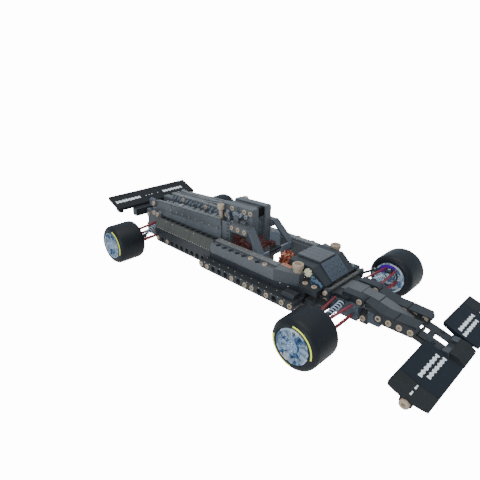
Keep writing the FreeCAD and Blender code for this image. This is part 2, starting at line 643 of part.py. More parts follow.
# The gearbox between the rear wheels carries the rear wishbones
gearboxY, gearboxTop = 25.0, topBeamTop - 0.1
gearboxRear, gearboxFront = rearX - 20.0, rearX + 3.5
casing = box(gearboxRear, gearboxFront, -gearboxY, gearboxY, sillTop, gearboxTop)
casing = casing.makeFillet(3.6, [e for e in casing.Edges if e.BoundBox.XMax < gearboxRear + 0.1
                                 and e.BoundBox.ZMax > sillTop + 1])
gearbox = fuse([casing,
                box(gearboxRear, gearboxFront, half - railY, railY - half, axleZ - 7, sillTop + 1),
                box(gearboxRear, gearboxFront, railY + half, gearboxY, axleZ - 7, sillTop + 1),
                box(gearboxRear, gearboxFront, -gearboxY, -railY - half, axleZ - 7, sillTop + 1)])
save("gearbox", [gearbox])
rearArms = [wishbone(rearX, upperOut, axleZ + 7.4, gearboxY),
            wishbone(rearX, lowerOut, axleZ - 0.6, gearboxY, (bridgeY, axleZ - 1.9))]
save("rear_wishbones", bothSides(rearArms))


def damper(axleX, outer, inner):
    """Slanted spring leg: a rod with a coil of stacked turns round it."""
    low, high = Vector(axleX, outer[0], outer[1]), Vector(axleX, inner[0], inner[1])
    run = high - low
    way = Vector(run)
    way.normalize()
    pieces = [rod(low, high, 1.8)]
    turns = int((run.Length - 4.5) / 4.2)
    for i in range(turns):
        pieces.append(Part.makeCylinder(2.6, 2.2, low + way * (4.4 + 4.2 * i), way))
    return fuse(pieces)


frontDamper = damper(frontX, (springY, axleZ + 4.4), (bulkheadY + 0.7, axleZ + 6.0))
rearDamper = damper(rearX, (springY, axleZ + 0.5), (gearboxY + 0.7, axleZ + 9.0))
save("dampers", bothSides([frontDamper, rearDamper]))

# ---------------------------------------------------------------- nose
lowerNoseFirst, lowerNoseZ = frontX + 26.2, axleZ + 3.1
lowerNoseTop = lowerNoseZ + half
noseFootX, noseFootZ = frontX + 14.5, axleZ - 2.0
noseFoot = box(bulkheadFront + 0.2, noseFootX + half, railY - half, railY + half,
               noseFootZ - half, noseFootZ + half)
noseFoot = noseFoot.cut(drum(Vector(noseFootX, railY, noseFootZ), "y", pinBore / 2, beamSize + 1))
save("nose_lower_beams", bothSides([noseFoot, beam(lowerNoseFirst, 4, railY, lowerNoseZ)]))

noseLift = axleZ + 12.8     # top of the nose just ahead of the cross bar


def plank(stations, bottom):
    """Panel across the nose from a table of (x ahead of the axle, half width, top)."""
    outlines = []
    for ahead, wide, top in stations:
        x = frontX + ahead
        corners = [Vector(x, -wide, bottom(top)), Vector(x, wide, bottom(top)),
                   Vector(x, wide, top), Vector(x, -wide, top)]
        outlines.append(Part.makePolygon(corners + corners[:1]))
    return Part.makeLoft(outlines, True, True)


def wedge(stations, bottom):
    """Panel along one side of the nose from a table of (x ahead, inner y, outer y, top)."""
    outlines = []
    for ahead, inner, outer, top in stations:
        x = frontX + ahead
        corners = [Vector(x, inner, bottom), Vector(x, outer, bottom),
                   Vector(x, outer, top), Vector(x, inner, top)]
        outlines.append(Part.makePolygon(corners + corners[:1]))
    return Part.makeLoft(outlines, True, True)


centre = [plank([(-10.4, 8.6, noseLift - 1.4), (-4.7, 8.4, noseLift - 1.0)], lambda top: bulkheadTop + 0.05),
          plank([(-4.3, 7.6, noseLift), (6.0, 7.6, noseLift)], lambda top: bulkheadTop + 0.05),
          plank([(6.4, 5.3, noseLift), (20.4, 5.1, noseLift - 1.8)], lambda top: top - 2.4),
          plank([(20.9, 5.0, noseLift - 2.4), (29.0, 4.6, noseLift - 4.4), (37.0, 4.1, noseLift - 6.4),
                 (44.4, 3.7, noseLift - 8.6)], lambda top: top - 2.2)]
save("nose_centre_panels", centre)

# Black strips along both sides of the nose: a flat plate, a short beam standing on the bulkhead,
# a curved strip that falls to the lower beam, and a thin plate on that beam
plateFoot = bulkheadTop + 0.05
rearStrip = prism([(frontX - 10.4, 9.0), (frontX - 4.7, 9.0), (frontX - 4.7, 16.2), (frontX + 2.6, 16.2),
                   (frontX + 2.6, 17.5), (frontX - 10.4, 17.5)], "z", plateFoot, noseLift - 1.9)
hangX, hangZ = frontX + 10.2, axleZ + 10.0
hangBeam = fuse([box(frontX - 4.4, hangX, railY - half, railY + half, plateFoot, hangZ + half),
                 drum(Vector(hangX, railY, hangZ), "y", half, beamSize)])
hangBeam = hangBeam.cut(box(frontX - 5, bulkheadFront + 0.15, 0, 20, hangZ - 5, plateFoot))
hangBeam = hangBeam.cut(drum(Vector(hangX, railY, hangZ), "y", pinBore / 2, beamSize + 1))
frontStrip = wedge([(14.4, 5.7, 14.8, noseLift - 0.4), (21.5, 5.6, 15.6, noseLift - 2.6),
                    (29.5, 5.2, 15.9, noseLift - 4.6), (38.0, 4.6, 15.9, lowerNoseTop + 1.3)], lowerNoseTop + 0.05)
thinPlate = wedge([(38.4, 4.4, 15.9, lowerNoseTop + 1.1), (53.6, 4.2, 14.6, lowerNoseTop + 0.9)],
                  lowerNoseTop + 0.05)
save("nose_side_strips", bothSides([rearStrip, hangBeam, frontStrip, thinPlate]))

armRear, armTip = frontX + 38.4, frontX + 75.0
armWide = lowerNoseFirst + 3 * pitch + half + 0.3      # the arms widen past the ends of the lower beams
arm = prism([(armRear, 4.0), (armWide, 3.4), (armTip, 3.0), (armTip, 10.6), (armWide, 11.0),
             (armWide, railY - half - 0.2), (armRear, railY - half - 0.2)], "z", axleZ - 10, axleZ + 6)
side = prism([(armRear, axleZ + 4.2), (frontX + 52, axleZ + 2.6), (armTip, axleZ - 2.6), (armTip, axleZ - 8.0),
              (frontX + 52, axleZ - 3.2), (armRear, axleZ - 2.4)], "y", 0, 20)
noseArm = arm.common(side)
save("nose_arms", bothSides([noseArm]))

tipFront = frontX + frontOverhang - 0.2
tip = prism([(armTip + 0.2, axleZ - 2.4), (armTip + 6, axleZ - 3.6), (tipFront, axleZ - 7.2), (tipFront, axleZ - 9.2),
             (armTip + 4, axleZ - 15.0), (armTip + 0.2, axleZ - 13.0)], "y", -10.8, 10.8)
save("nose_tip", [tip])

# ---------------------------------------------------------------- front wing
wingInner, wingSeam, wingOuter = 14.6, 53.0, frontWingSpan / 2
wingRear, wingFront = frontX + 60.7, frontX + frontOverhang
wingThick = 3.0
edgeThick = 1.3


def wingOutline(y, drop=0.0):
    """Slightly dished plate, high at its rear edge and steeper towards the nose."""
    out = (y - wingInner) / (frontWingSpan / 2 - wingInner)
    rearZ = axleZ + 3.0 - 1.3 * out - drop
    frontZ = axleZ - 6.6 + 1.5 * out - drop
    midX, midZ = (wingRear + wingFront) / 2, (rearZ + frontZ) / 2 - 0.9
    top = Part.Arc(Vector(wingRear, y, rearZ), Vector(midX, y, midZ), Vector(wingFront, y, frontZ)).toShape()
    under = Part.Arc(Vector(wingFront, y, frontZ - edgeThick), Vector(midX - 0.6, y, midZ - wingThick),
                     Vector(wingRear, y, rearZ - wingThick)).toShape()
    rear = Part.makeLine(Vector(wingRear, y, rearZ - wingThick), Vector(wingRear, y, rearZ))
    front = Part.makeLine(Vector(wingFront, y, frontZ), Vector(wingFront, y, frontZ - edgeThick))
    return Part.Wire([top, front, under, rear])


def wingSection(y0, y1, drop=0.0):
    return Part.makeLoft([wingOutline(y0, drop), wingOutline(y1, drop)], True, True)


save("front_wing_panels", bothSides([wingSection(wingInner, wingSeam), wingSection(wingSeam + seam, wingOuter)]))
# Carrier under each wing half, with a collar and pin under the wing's end
carrierX, carrierZ = frontX + 72.5, axleZ - 7.8
collarRadius = 4.2
carrier = fuse([box(carrierX - half, carrierX + half, 11.1, wingOuter - 8, carrierZ - half, carrierZ + half),
                drum(Vector(carrierX, wingOuter - 6.5, carrierZ), "y", collarRadius, 11.0)])
carrier = carrier.cut(drum(Vector(carrierX, wingOuter - 6.5, carrierZ), "y", pinBore / 2, 14.0))
endPin = fuse([drum(Vector(carrierX, wingOuter - 5.5, carrierZ), "y", pinBore / 2 - pinFit, 11.0),
               drum(Vector(carrierX, wingOuter + 0.3, carrierZ), "y", pinBore / 2 + 0.9, 2.0)])
above = [wingSection(wingInner - 4, wingOuter + 3, drop) for drop in (0.3, -2.0)]
carrier = cut(carrier, above)
endPin = cut(endPin, above)
save("front_wing_carriers", bothSides([carrier]))
save("front_wing_pins", bothSides([endPin]))

# ---------------------------------------------------------------- rear wing
plateRear, plateFront = rearX - rearOverhang, rearX - rearOverhang + 20.5
plateRearZ, plateFrontZ = axleZ + 33.1, axleZ + 24.4
plateThick = 3.0
plate = prism([(plateRear, plateRearZ), (plateFront, plateFrontZ), (plateFront, plateFrontZ - plateThick),
               (plateRear, plateRearZ - plateThick)], "y", -rearWingSpan / 2, rearWingSpan / 2)
save("rear_wing_plate", [plate])
endDrop = 8.0
ends = prism([(plateRear + 3, plateRearZ - plateThick - 1.4), (plateFront, plateFrontZ - plateThick - 0.1),
              (plateFront, plateFrontZ - plateThick - endDrop), (plateFront - 7, plateFrontZ - plateThick - endDrop)],
             "y", rearWingSpan / 2 - 6, rearWingSpan / 2 - 2)
save("rear_wing_ends", bothSides([ends]))
mountTop = plateFrontZ - plateThick - 0.1
mountRear = plateFront - 0.5
mount = fuse([box(mountRear, mountRear + beamSize, -35, 35, mountTop - beamSize, mountTop),
              box(mountRear + 1, gearboxRear, -12, 12, mountTop - beamSize - 3, mountTop - 1.5)])
save("rear_wing_mount", [mount])

# ---------------------------------------------------------------- mirrors, posts and pins
mirrorRadius, mirrorTop = 4.9, axleZ + 29.7
mirrorAt = Vector(frontX - 39.3, cowlY + mirrorRadius + 0.3, podTop + 0.1)
mirror = fuse([Part.makeCylinder(mirrorRadius - 0.7, mirrorTop - mirrorAt.z - 1, mirrorAt),
               Part.makeCylinder(mirrorRadius, 3.4, Vector(mirrorAt.x, mirrorAt.y, mirrorTop - 3.4))])
save("mirrors", bothSides([mirror]))

pins = [pin(sillFirst + i * pitch, sillY + half, axleZ) for i in (0, 1, 5, 7, 8, 10, 12, 13)]
pins += [pin(rearBeamFirst + i * pitch, podY + half, axleZ) for i in (0, 2)]
pins += [pin(lowerNoseFirst + i * pitch, railY + half, lowerNoseZ) for i in range(4)]
pins += [pin(noseFootX, railY + half, noseFootZ), pin(hangX, railY + half, hangZ)]
pins += [pin(sideBeamFirst + i * pitch, sideBeamY + half, sideBeamZ) for i in (0, 1, 2)]
save("side_pins", bothSides(pins))
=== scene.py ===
import bpy
import bmesh
import math
from mathutils import Matrix, Vector
from mathutils.bvhtree import BVHTree


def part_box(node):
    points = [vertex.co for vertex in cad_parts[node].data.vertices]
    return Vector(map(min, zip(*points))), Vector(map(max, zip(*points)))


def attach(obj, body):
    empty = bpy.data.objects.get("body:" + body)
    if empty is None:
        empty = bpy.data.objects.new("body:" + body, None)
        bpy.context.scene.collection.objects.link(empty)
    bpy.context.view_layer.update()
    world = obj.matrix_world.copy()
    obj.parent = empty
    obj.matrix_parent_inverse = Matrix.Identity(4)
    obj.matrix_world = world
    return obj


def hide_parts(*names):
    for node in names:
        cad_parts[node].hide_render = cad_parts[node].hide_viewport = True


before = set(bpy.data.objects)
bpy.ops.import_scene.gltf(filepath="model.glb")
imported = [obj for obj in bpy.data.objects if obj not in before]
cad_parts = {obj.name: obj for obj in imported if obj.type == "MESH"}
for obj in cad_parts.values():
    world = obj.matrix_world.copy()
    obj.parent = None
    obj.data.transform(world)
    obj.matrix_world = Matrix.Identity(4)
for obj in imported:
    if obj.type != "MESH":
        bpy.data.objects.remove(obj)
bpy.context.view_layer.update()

mm = 0.001                   # sizes below are in millimetres, places made by spot() in metres
up = Vector((0, 0, 1))
left = Vector((0, 1, 0))
forward = Vector((1, 0, 0))
ways = (1, -1)               # left and right half of the car
wheels = [(axleName, sideName, way) for axleName in ("front", "rear")
          for sideName, way in (("left", 1), ("right", -1))]


def middle(node):            # middle of a CAD node's box
    low, high = (Vector(corner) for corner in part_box(node))
    return (low + high) / 2


def size(node):
    low, high = (Vector(corner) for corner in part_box(node))
    return high - low


frontX, rearX = middle("front_left_tyre").x, middle("rear_left_tyre").x


def spot(ahead, side, high):     # ahead of the front axle, left of the middle and off the ground
    return Vector((frontX + ahead * mm, side * mm, high * mm))


def islands(node):           # low and high corners of each separate solid of a CAD node
    form = bmesh.new()
    form.from_mesh(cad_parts[node].data)
    bmesh.ops.remove_doubles(form, verts=form.verts, dist=0.001 * mm)
    seen, boxes = set(), []
    for start in form.verts:
        if start.index in seen:
            continue
        seen.add(start.index)
        edge, found = [start], []
        while edge:
            vert = edge.pop()
            found.append(vert.co.copy())
            for link in vert.link_edges:
                other = link.other_vert(vert)
                if other.index not in seen:
                    seen.add(other.index)
                    edge.append(other)
        boxes.append(tuple(Vector([pick(axis) for axis in zip(*found)]) for pick in (min, max)))
    form.free()
    return sorted(boxes, key=lambda pair: (round(pair[0].y, 4), round(pair[0].x, 4)))


def outward(low, high):      # the half of the car a solid is on, and its near and far faces
    return (1, low.y, high.y) if low.y > 0 else (-1, high.y, low.y)


def topSurface(node):        # gives the height of a CAD node's upper side at any place
    form = bmesh.new()
    form.from_mesh(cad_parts[node].data)
    tree = BVHTree.FromBMesh(form)
    form.free()
    above = 0.2              # metres, over the whole car

    def height(x, y):
        return tree.ray_cast(Vector((x, y, above)), -up)[0].z
    return height


print("frame loaded:", len(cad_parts), "CAD nodes")

# Camera ahead and to the right of the car
cameraSet = {"place": (137.4, -267.65, 195.1), "turn": 44.91, "dip": 23.35, "lens": 31.785, "sensor": 36,
             "clip": 0.01}
cameraData = bpy.data.cameras.new("camera")
cameraData.lens = cameraSet["lens"]
cameraData.sensor_width = cameraSet["sensor"]
cameraData.clip_start = cameraSet["clip"]
camera = bpy.data.objects.new("camera", cameraData)
bpy.context.scene.collection.objects.link(camera)
camera.location = spot(*cameraSet["place"])
camera.rotation_euler = (math.radians(90 - cameraSet["dip"]), 0, math.radians(cameraSet["turn"]))
bpy.context.scene.camera = camera


# Node helpers for the light, the floor and the finishes
def feed(tree, socket, value):      # a number or colour is set, an output is linked
    if isinstance(value, (int, float, tuple)):
        socket.default_value = value
    else:
        tree.links.new(value, socket)


def addNode(tree, kind, inputs=None, **settings):
    node = tree.nodes.new("ShaderNode" + kind)
    for key, value in settings.items():
        setattr(node, key, value)
    for socket, value in (inputs or {}).items():
        feed(tree, node.inputs[socket], value)
    return node


def sums(tree, kind, first, second=0.0, clamp=False):
    return addNode(tree, "Math", {0: first, 1: second}, operation=kind, use_clamp=clamp).outputs[0]


def mixColour(tree, factor, first, second):
    return addNode(tree, "Mix", {0: factor, 6: first, 7: second}, data_type="RGBA").outputs[2]


def noise(tree, vector, scale, detail):
    return addNode(tree, "TexNoise", {"Detail": detail, "Scale": scale, "Vector": vector}).outputs["Fac"]


def newMaterial(name):
    material = bpy.data.materials.new(name)
    material.use_nodes = True
    return material, material.node_tree, material.node_tree.nodes["Principled BSDF"]


# Soft studio light and a nearly white backdrop
lightSet = {
    "sky": (0.69, 0.85, 1.0), "skyStrength": 0.95, "backdrop": 14.0,
    "floor": {"half": 6, "tone": 0.9, "rough": 0.9, "glow": 1.06, "share": 0.94},
    "top": {"place": (0.05, -0.05, 1.0), "aim": (0, 0, 0), "size": 1.1, "watts": 9.5,
            "tint": (1.0, 0.91, 0.78)},
    "side": {"place": (0.25, -0.92, 0.3), "aim": (-0.02, 0, 0.03), "size": 0.7, "watts": 4.5,
             "tint": (0.80, 0.90, 1.0)},
}


def cameraOnly(tree, seen, other, share=1.0):    # one shader is seen by the camera, the other gives the light
    weight = sums(tree, "MULTIPLY", addNode(tree, "LightPath").outputs["Is Camera Ray"], share)
    return addNode(tree, "MixShader", {0: weight, 1: other.outputs[0], 2: seen.outputs[0]}).outputs[0]


world = bpy.data.worlds.new("studio")
world.use_nodes = True
skyTree = world.node_tree
sky = skyTree.nodes["Background"]
sky.inputs["Color"].default_value = (*lightSet["sky"], 1)
sky.inputs["Strength"].default_value = lightSet["skyStrength"]
backdrop = addNode(skyTree, "Background", {"Color": (1, 1, 1, 1), "Strength": lightSet["backdrop"]})
skyTree.links.new(cameraOnly(skyTree, backdrop, sky), skyTree.nodes["World Output"].inputs["Surface"])
bpy.context.scene.world = world
for name in ("top", "side"):
    want = lightSet[name]
    lamp = bpy.data.lights.new(name, "AREA")
    lamp.shape = "DISK"
    lamp.size = want["size"]
    lamp.energy = want["watts"]
    lamp.color = want["tint"]
    lamp.use_shadow = False
    lampObject = bpy.data.objects.new(name, lamp)
    bpy.context.scene.collection.objects.link(lampObject)
    lampObject.location = want["place"]
    away = Vector(want["place"]) - Vector(want["aim"])
    lampObject.rotation_euler = away.to_track_quat("Z", "Y").to_euler()

want = lightSet["floor"]
floorMesh = bpy.data.meshes.new("floor")
floorForm = bmesh.new()
bmesh.ops.create_grid(floorForm, x_segments=1, y_segments=1, size=want["half"])
floorForm.to_mesh(floorMesh)
floorForm.free()
floor = bpy.data.objects.new("floor", floorMesh)
bpy.context.scene.collection.objects.link(floor)
floorPaint, floorTree, floorShader = newMaterial("paleFloor")
floorShader.inputs["Base Color"].default_value = (want["tone"], want["tone"], want["tone"], 1)
floorShader.inputs["Roughness"].default_value = want["rough"]
floorGlow = addNode(floorTree, "Emission", {"Strength": lightSet["backdrop"] * want["glow"]})
floorTree.links.new(cameraOnly(floorTree, floorGlow, floorShader, want["share"]),
                    floorTree.nodes["Material Output"].inputs["Surface"])
floorMesh.materials.append(floorPaint)
print("camera, light and floor set")


# Finishes: one node group for each effect that several materials share
def newGroup(name, inputs, *outputs):       # inputs: None for a vector, a tuple for a colour, else a number
    group = bpy.data.node_groups.new(name, "ShaderNodeTree")
    for label, value in inputs.items():
        kind = "Vector" if value is None else "Color" if isinstance(value, tuple) else "Float"
        socket = group.interface.new_socket(name=label, in_out="INPUT", socket_type="NodeSocket" + kind)
        if value is not None:
            socket.default_value = value
    for label in outputs:
        kind = "Color" if label == "Color" else "Float"
        group.interface.new_socket(name=label, in_out="OUTPUT", socket_type="NodeSocket" + kind)
    return group, group.nodes.new("NodeGroupInput").outputs, group.nodes.new("NodeGroupOutput").inputs


# Moulded plastic: cloudy tone from the mould, fine grain, light scuffs and a slightly uneven gloss
mouldSet = {"cloud": (70.0, 2.0), "grain": (2600.0, 2.0), "scuff": (380.0, 5.0), "scuffFrom": 0.62,
            "scuffTone": (0.3, 0.32, 0.35, 1), "uneven": 0.35}
moulded, start, end = newGroup(
    "mouldedSurface",
    {"Vector": None, "Tone": (0.1, 0.1, 0.1, 1), "Cloud": 0.25, "Gloss": 0.35, "Grain": 0.05},
    "Color", "Roughness", "Height")
cloud = noise(moulded, start["Vector"], *mouldSet["cloud"])
grain = noise(moulded, start["Vector"], *mouldSet["grain"])
scuff = noise(moulded, start["Vector"], *mouldSet["scuff"])
swing = sums(moulded, "MULTIPLY", sums(moulded, "SUBTRACT", cloud, 0.5), start["Cloud"])
swing = sums(moulded, "ADD", swing, 1.0)
shade = addNode(moulded, "VectorMath", {0: start["Tone"]}, operation="SCALE")
moulded.links.new(swing, shade.inputs["Scale"])
worn = sums(moulded, "SUBTRACT", scuff, mouldSet["scuffFrom"], clamp=True)
worn = sums(moulded, "MULTIPLY", worn, start["Cloud"])
moulded.links.new(mixColour(moulded, worn, shade.outputs[0], mouldSet["scuffTone"]), end["Color"])
uneven = sums(moulded, "MULTIPLY", sums(moulded, "SUBTRACT", scuff, 0.5), mouldSet["uneven"])
moulded.links.new(sums(moulded, "ADD", start["Gloss"], uneven, clamp=True), end["Roughness"])
moulded.links.new(sums(moulded, "MULTIPLY", grain, start["Grain"]), end["Height"])

# Joints between the plates that a long panel is built of
jointed, start, end = newGroup(
    "plateJoints", {"Vector": None, "Spacing": 0.024, "Offset": 0.0, "Width": 0.0003}, "Mask")
split = addNode(jointed, "SeparateXYZ", {0: start["Vector"]})
along = sums(jointed, "ADD", split.outputs["X"], start["Offset"])
along = sums(jointed, "FRACT", sums(jointed, "DIVIDE", along, start["Spacing"]))
part = sums(jointed, "ABSOLUTE", sums(jointed, "SUBTRACT", along, 0.5))
part = sums(jointed, "MULTIPLY", part, start["Spacing"])
half = sums(jointed, "MULTIPLY", start["Width"], 0.5)
jointed.links.new(sums(jointed, "LESS_THAN", part, half), end["Mask"])

# Coloured flakes: patches of a second and a third tone in cells of one size
thirdShare = 0.6             # cells of the third tone for each of the second
flaked, start, end = newGroup(
    "tonePatches", {"Vector": None, "Base": (0.3, 0.3, 0.3, 1), "Second": (0.1, 0.1, 0.2, 1),
                    "Third": (0.6, 0.6, 0.6, 1), "Scale": 200.0, "Share": 0.35},
    "Color", "Mask")
cells = addNode(flaked, "TexVoronoi", {"Vector": start["Vector"], "Scale": start["Scale"]})
cellTone = addNode(flaked, "SeparateColor", {0: cells.outputs["Color"]}).outputs
second = sums(flaked, "LESS_THAN", cellTone[0], start["Share"])
third = sums(flaked, "LESS_THAN", cellTone[1], sums(flaked, "MULTIPLY", start["Share"], thirdShare))
patched = mixColour(flaked, third, start["Base"], start["Third"])
flaked.links.new(mixColour(flaked, second, patched, start["Second"]), end["Color"])
flaked.links.new(second, end["Mask"])

# A finish's joints are spacing, first joint and width; its patches two tones, cells in a metre and share
surfaceSet = {"bump": 0.35, "depth": 0.1, "jointTone": 0.2, "edgeSamples": 4}


def plastic(name, tone, gloss=0.4, cloudy=0.3, grainy=0.05, joints=None, patches=None, edge=0.35, shine=0.35):
    material, tree, shader = newMaterial(name)
    shader.inputs["Specular IOR Level"].default_value = shine
    place = addNode(tree, "TexCoord").outputs["Object"]
    paint = (*tone, 1)
    if patches:
        second, third, scale, share = patches
        want = {"Vector": place, "Base": paint, "Second": (*second, 1), "Third": (*third, 1), "Scale": scale,
                "Share": share}
        paint = addNode(tree, "Group", want, node_tree=flaked).outputs["Color"]
    want = {"Vector": place, "Tone": paint, "Cloud": cloudy, "Gloss": gloss, "Grain": grainy}
    surface = addNode(tree, "Group", want, node_tree=moulded)
    colour, height = surface.outputs["Color"], surface.outputs["Height"]
    if joints:
        spacing, offset, width = (value * mm for value in joints)
        want = {"Vector": place, "Spacing": spacing, "Offset": offset - frontX, "Width": width}
        mask = addNode(tree, "Group", want, node_tree=jointed).outputs["Mask"]
        colour = mixColour(tree, mask, colour, (*(surfaceSet["jointTone"] * part for part in tone), 1))
        height = sums(tree, "SUBTRACT", height, mask)
    want = {"Strength": surfaceSet["bump"], "Distance": surfaceSet["depth"] * mm, "Height": height}
    bump = addNode(tree, "Bump", want)
    if edge:
        rounded = addNode(tree, "Bevel", {"Radius": edge * mm}, samples=surfaceSet["edgeSamples"])
        tree.links.new(rounded.outputs["Normal"], bump.inputs["Normal"])
    for socket, value in (("Base Color", colour), ("Roughness", surface.outputs["Roughness"]),
                          ("Normal", bump.outputs["Normal"])):
        tree.links.new(value, shader.inputs[socket])
    return material


greyTone, blackTone = (0.068, 0.072, 0.078), (0.020, 0.0225, 0.026)
grey = plastic("darkGreyPlastic", greyTone)
greyPlates = plastic("darkGreyPlates", greyTone, joints=(24, 4, 0.35))
topGrey = plastic("paleDeckPlastic", (0.105, 0.108, 0.110), cloudy=0.5)
# lighter grey than the frame's: painted light on the seat shell and front walls, where the cockpit lies in
# shade
seatLitGrey = plastic("seatGreyPaintedLight", (0.125, 0.147, 0.175))
barGrey = plastic("crossBarPlastic", (0.060, 0.058, 0.053), gloss=0.3)
strutGrey = plastic("strutPlastic", (0.050, 0.056, 0.065))
# darker grey: painted shade on the front pods' taper faces that face forward and out
taperShadeGrey = plastic("taperPaintedShade", (0.042, 0.046, 0.052))
bushGrey = plastic("bushGreyPlastic", (0.15, 0.172, 0.20), gloss=0.35)
screenGrey = plastic("screenPlastic", (0.040, 0.050, 0.066))
bulkheadGrey = plastic("bulkheadPlastic", (0.046, 0.058, 0.072),
                       patches=((0.036, 0.046, 0.058), (0.07, 0.085, 0.10), 500.0, 0.3))
mixedGrey = plastic("mixedGreyPlastic", (0.125, 0.14, 0.16),
                    patches=((0.052, 0.060, 0.072), (0.26, 0.28, 0.30), 320.0, 0.32))
# the mixed grey made lighter: painted light on the engine valley's parts, which lie in shade
valleyLitGrey = plastic("valleyGreyPaintedLight", (0.19, 0.205, 0.225),
                     patches=((0.07, 0.08, 0.095), (0.34, 0.36, 0.38), 320.0, 0.32))
# deep grey plastic on the gearbox, steering column and nose arm blocks; on the wheel-face holes and the deck
# end slots it is painted shade
deepGreyAndShade = plastic("deepGreyAndPaintedShade", (0.034, 0.039, 0.046))
black = plastic("blackPlastic", blackTone, shine=0.25)
blackPlates = plastic("blackPlates", blackTone, shine=0.25, joints=(40, 0, 0.3))
# near-black with little shine: painted shade for the airbox recess
recessShadeBlack = plastic("recessPaintedShade", (0.0070, 0.0072, 0.0062), gloss=0.6, shine=0.05)
wingBlack = plastic("wingPlates", (0.015, 0.0165, 0.018), gloss=0.55, shine=0.08)
wingBlue = plastic("wingBluePlates", (0.0115, 0.0145, 0.0200), gloss=0.55, shine=0.1)
wingOuter = plastic("wingOuterPlates", (0.0175, 0.019, 0.0205), gloss=0.55, shine=0.1)
# dark plates toned lighter and warm: painted warm light on the rear pod tops; the joint lines are real
warmLitDark = plastic("darkPlatesPaintedWarmLight", (0.050, 0.049, 0.042), joints=(8, 0, 0.2))
tan = plastic("tanPlastic", (0.33, 0.25, 0.18), gloss=0.45)
cream = plastic("creamPlastic", (0.62, 0.58, 0.40))
salmon = plastic("salmonPlastic", (0.34, 0.15, 0.10), gloss=0.45)
brown = plastic("reddishBrownPlastic", (0.062, 0.017, 0.016),
                patches=((0.038, 0.010, 0.010), (0.09, 0.032, 0.030), 330.0, 0.25))
rust = plastic("rustPlastic", (0.20, 0.045, 0.020),
               patches=((0.07, 0.013, 0.008), (0.42, 0.17, 0.10), 420.0, 0.3))
red = plastic("darkRedPlastic", (0.15, 0.020, 0.028), gloss=0.35)
violet = plastic("violetPlastic", (0.12, 0.0, 0.42), gloss=0.6, cloudy=0.1, shine=0.02)
blue = plastic("darkBluePlastic", (0.016, 0.030, 0.052),
               patches=((0.075, 0.12, 0.165), (0.03, 0.04, 0.05), 620.0, 0.4))
silver = plastic("springSteelBlue", (0.36, 0.45, 0.56), gloss=0.25, shine=0.5)
hubPaint = plastic("steelBluePlastic", (0.15, 0.235, 0.34), gloss=0.35)
rimPaint = plastic("paleBluePlastic", (0.205, 0.27, 0.355), gloss=0.35, cloudy=0.6,
                   patches=((0.030, 0.075, 0.155), (0.37, 0.39, 0.41), 260.0, 0.4))
# pale blue for the rims' inner dishes, paler than the outer faces partly by painted light
dishLitPaint = plastic("paleDishPaintedLight", (0.40, 0.45, 0.51), gloss=0.35, cloudy=0.6,
                    patches=((0.10, 0.18, 0.30), (0.48, 0.49, 0.50), 300.0, 0.3))
rubber = plastic("tyreRubber", (0.0066, 0.0080, 0.0105), gloss=0.46, cloudy=0.1, grainy=0.02, edge=None,
                 shine=0.19)
yellow = plastic("yellowPrint", (0.86, 0.88, 0.045), gloss=0.5, edge=None)
speck = plastic("seamDotPale", (0.52, 0.47, 0.40), gloss=0.45, edge=None)
pale = plastic("palePrint", (0.72, 0.74, 0.76), gloss=0.5, edge=None)

nodeFinish = (               # the first finish with a word that is in the node's name
    (rimPaint, "rim knuckle rear_uprights"), (tan, "pins mirrors head_posts"), (strutGrey, "shoulder_struts"),
    (grey, "front_pod_panels airbox cowl_panel nose_centre_panels cockpit_walls"), (brown, "seat"),
    # the rear pod tops' warm, lighter tone is painted warm light on dark plates
    (greyPlates, "deck_side_panels engine_spine"), (blackPlates, "pod_sides"), (warmLitDark, "rear_pod_tops"),
    # the cylinder heads' light grey is painted light in the valley's shade
    (topGrey, "engine_block"), (valleyLitGrey, "cylinder_heads"), (deepGreyAndShade, "gearbox steering_column"),
    (bulkheadGrey, "front_bulkhead"), (screenGrey, "windscreen_panel"), (blue, "foot_covers"),
    (cream, "side_cogs"), (rust, "steering_wheel"), (red, "wishbones"), (silver, "dampers"),
    (rubber, "tyre"), (wingBlack, "rear_wing_plate"), (wingBlue, "front_wing_panels"),
    (wingOuter, "front_wing_carriers nose_tip"),
)
for node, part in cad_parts.items():
    found = [finish for finish, words in nodeFinish if any(word in node for word in words.split())]
    part.data.materials.clear()
    part.data.materials.append((found + [black])[0])


def secondFinish(node, finish, belongs):     # the faces that belong to it get a finish of their own
    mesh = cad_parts[node].data
    mesh.materials.append(finish)
    for face in mesh.polygons:
        face.material_index = int(belongs(face))


twoToneSet = {"wingOuterFrom": 53.15 * mm, "dishUpTo": 62.0 * mm, "litDishFacing": 0.7, "shadeFacingAhead": 0.12,
              "shadeFacingAside": 0.5}
secondFinish("front_wing_panels", wingOuter, lambda face: abs(face.center.y) > twoToneSet["wingOuterFrom"])
# the taper's forward and outward faces get a darker grey: painted shade
secondFinish("front_pod_panels", taperShadeGrey, lambda face: face.normal.x > twoToneSet["shadeFacingAhead"]
             and abs(face.normal.y) > twoToneSet["shadeFacingAside"])
for axleName, sideName, way in wheels:       # the rims' inner dishes are paler than their outer faces, partly by painted light
    secondFinish(axleName + "_" + sideName + "_rim", dishLitPaint,
                 lambda face: -way * face.normal.y > twoToneSet["litDishFacing"]
                 and abs(face.center.y) < twoToneSet["dishUpTo"])
print("finishes on", len(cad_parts), "CAD nodes")


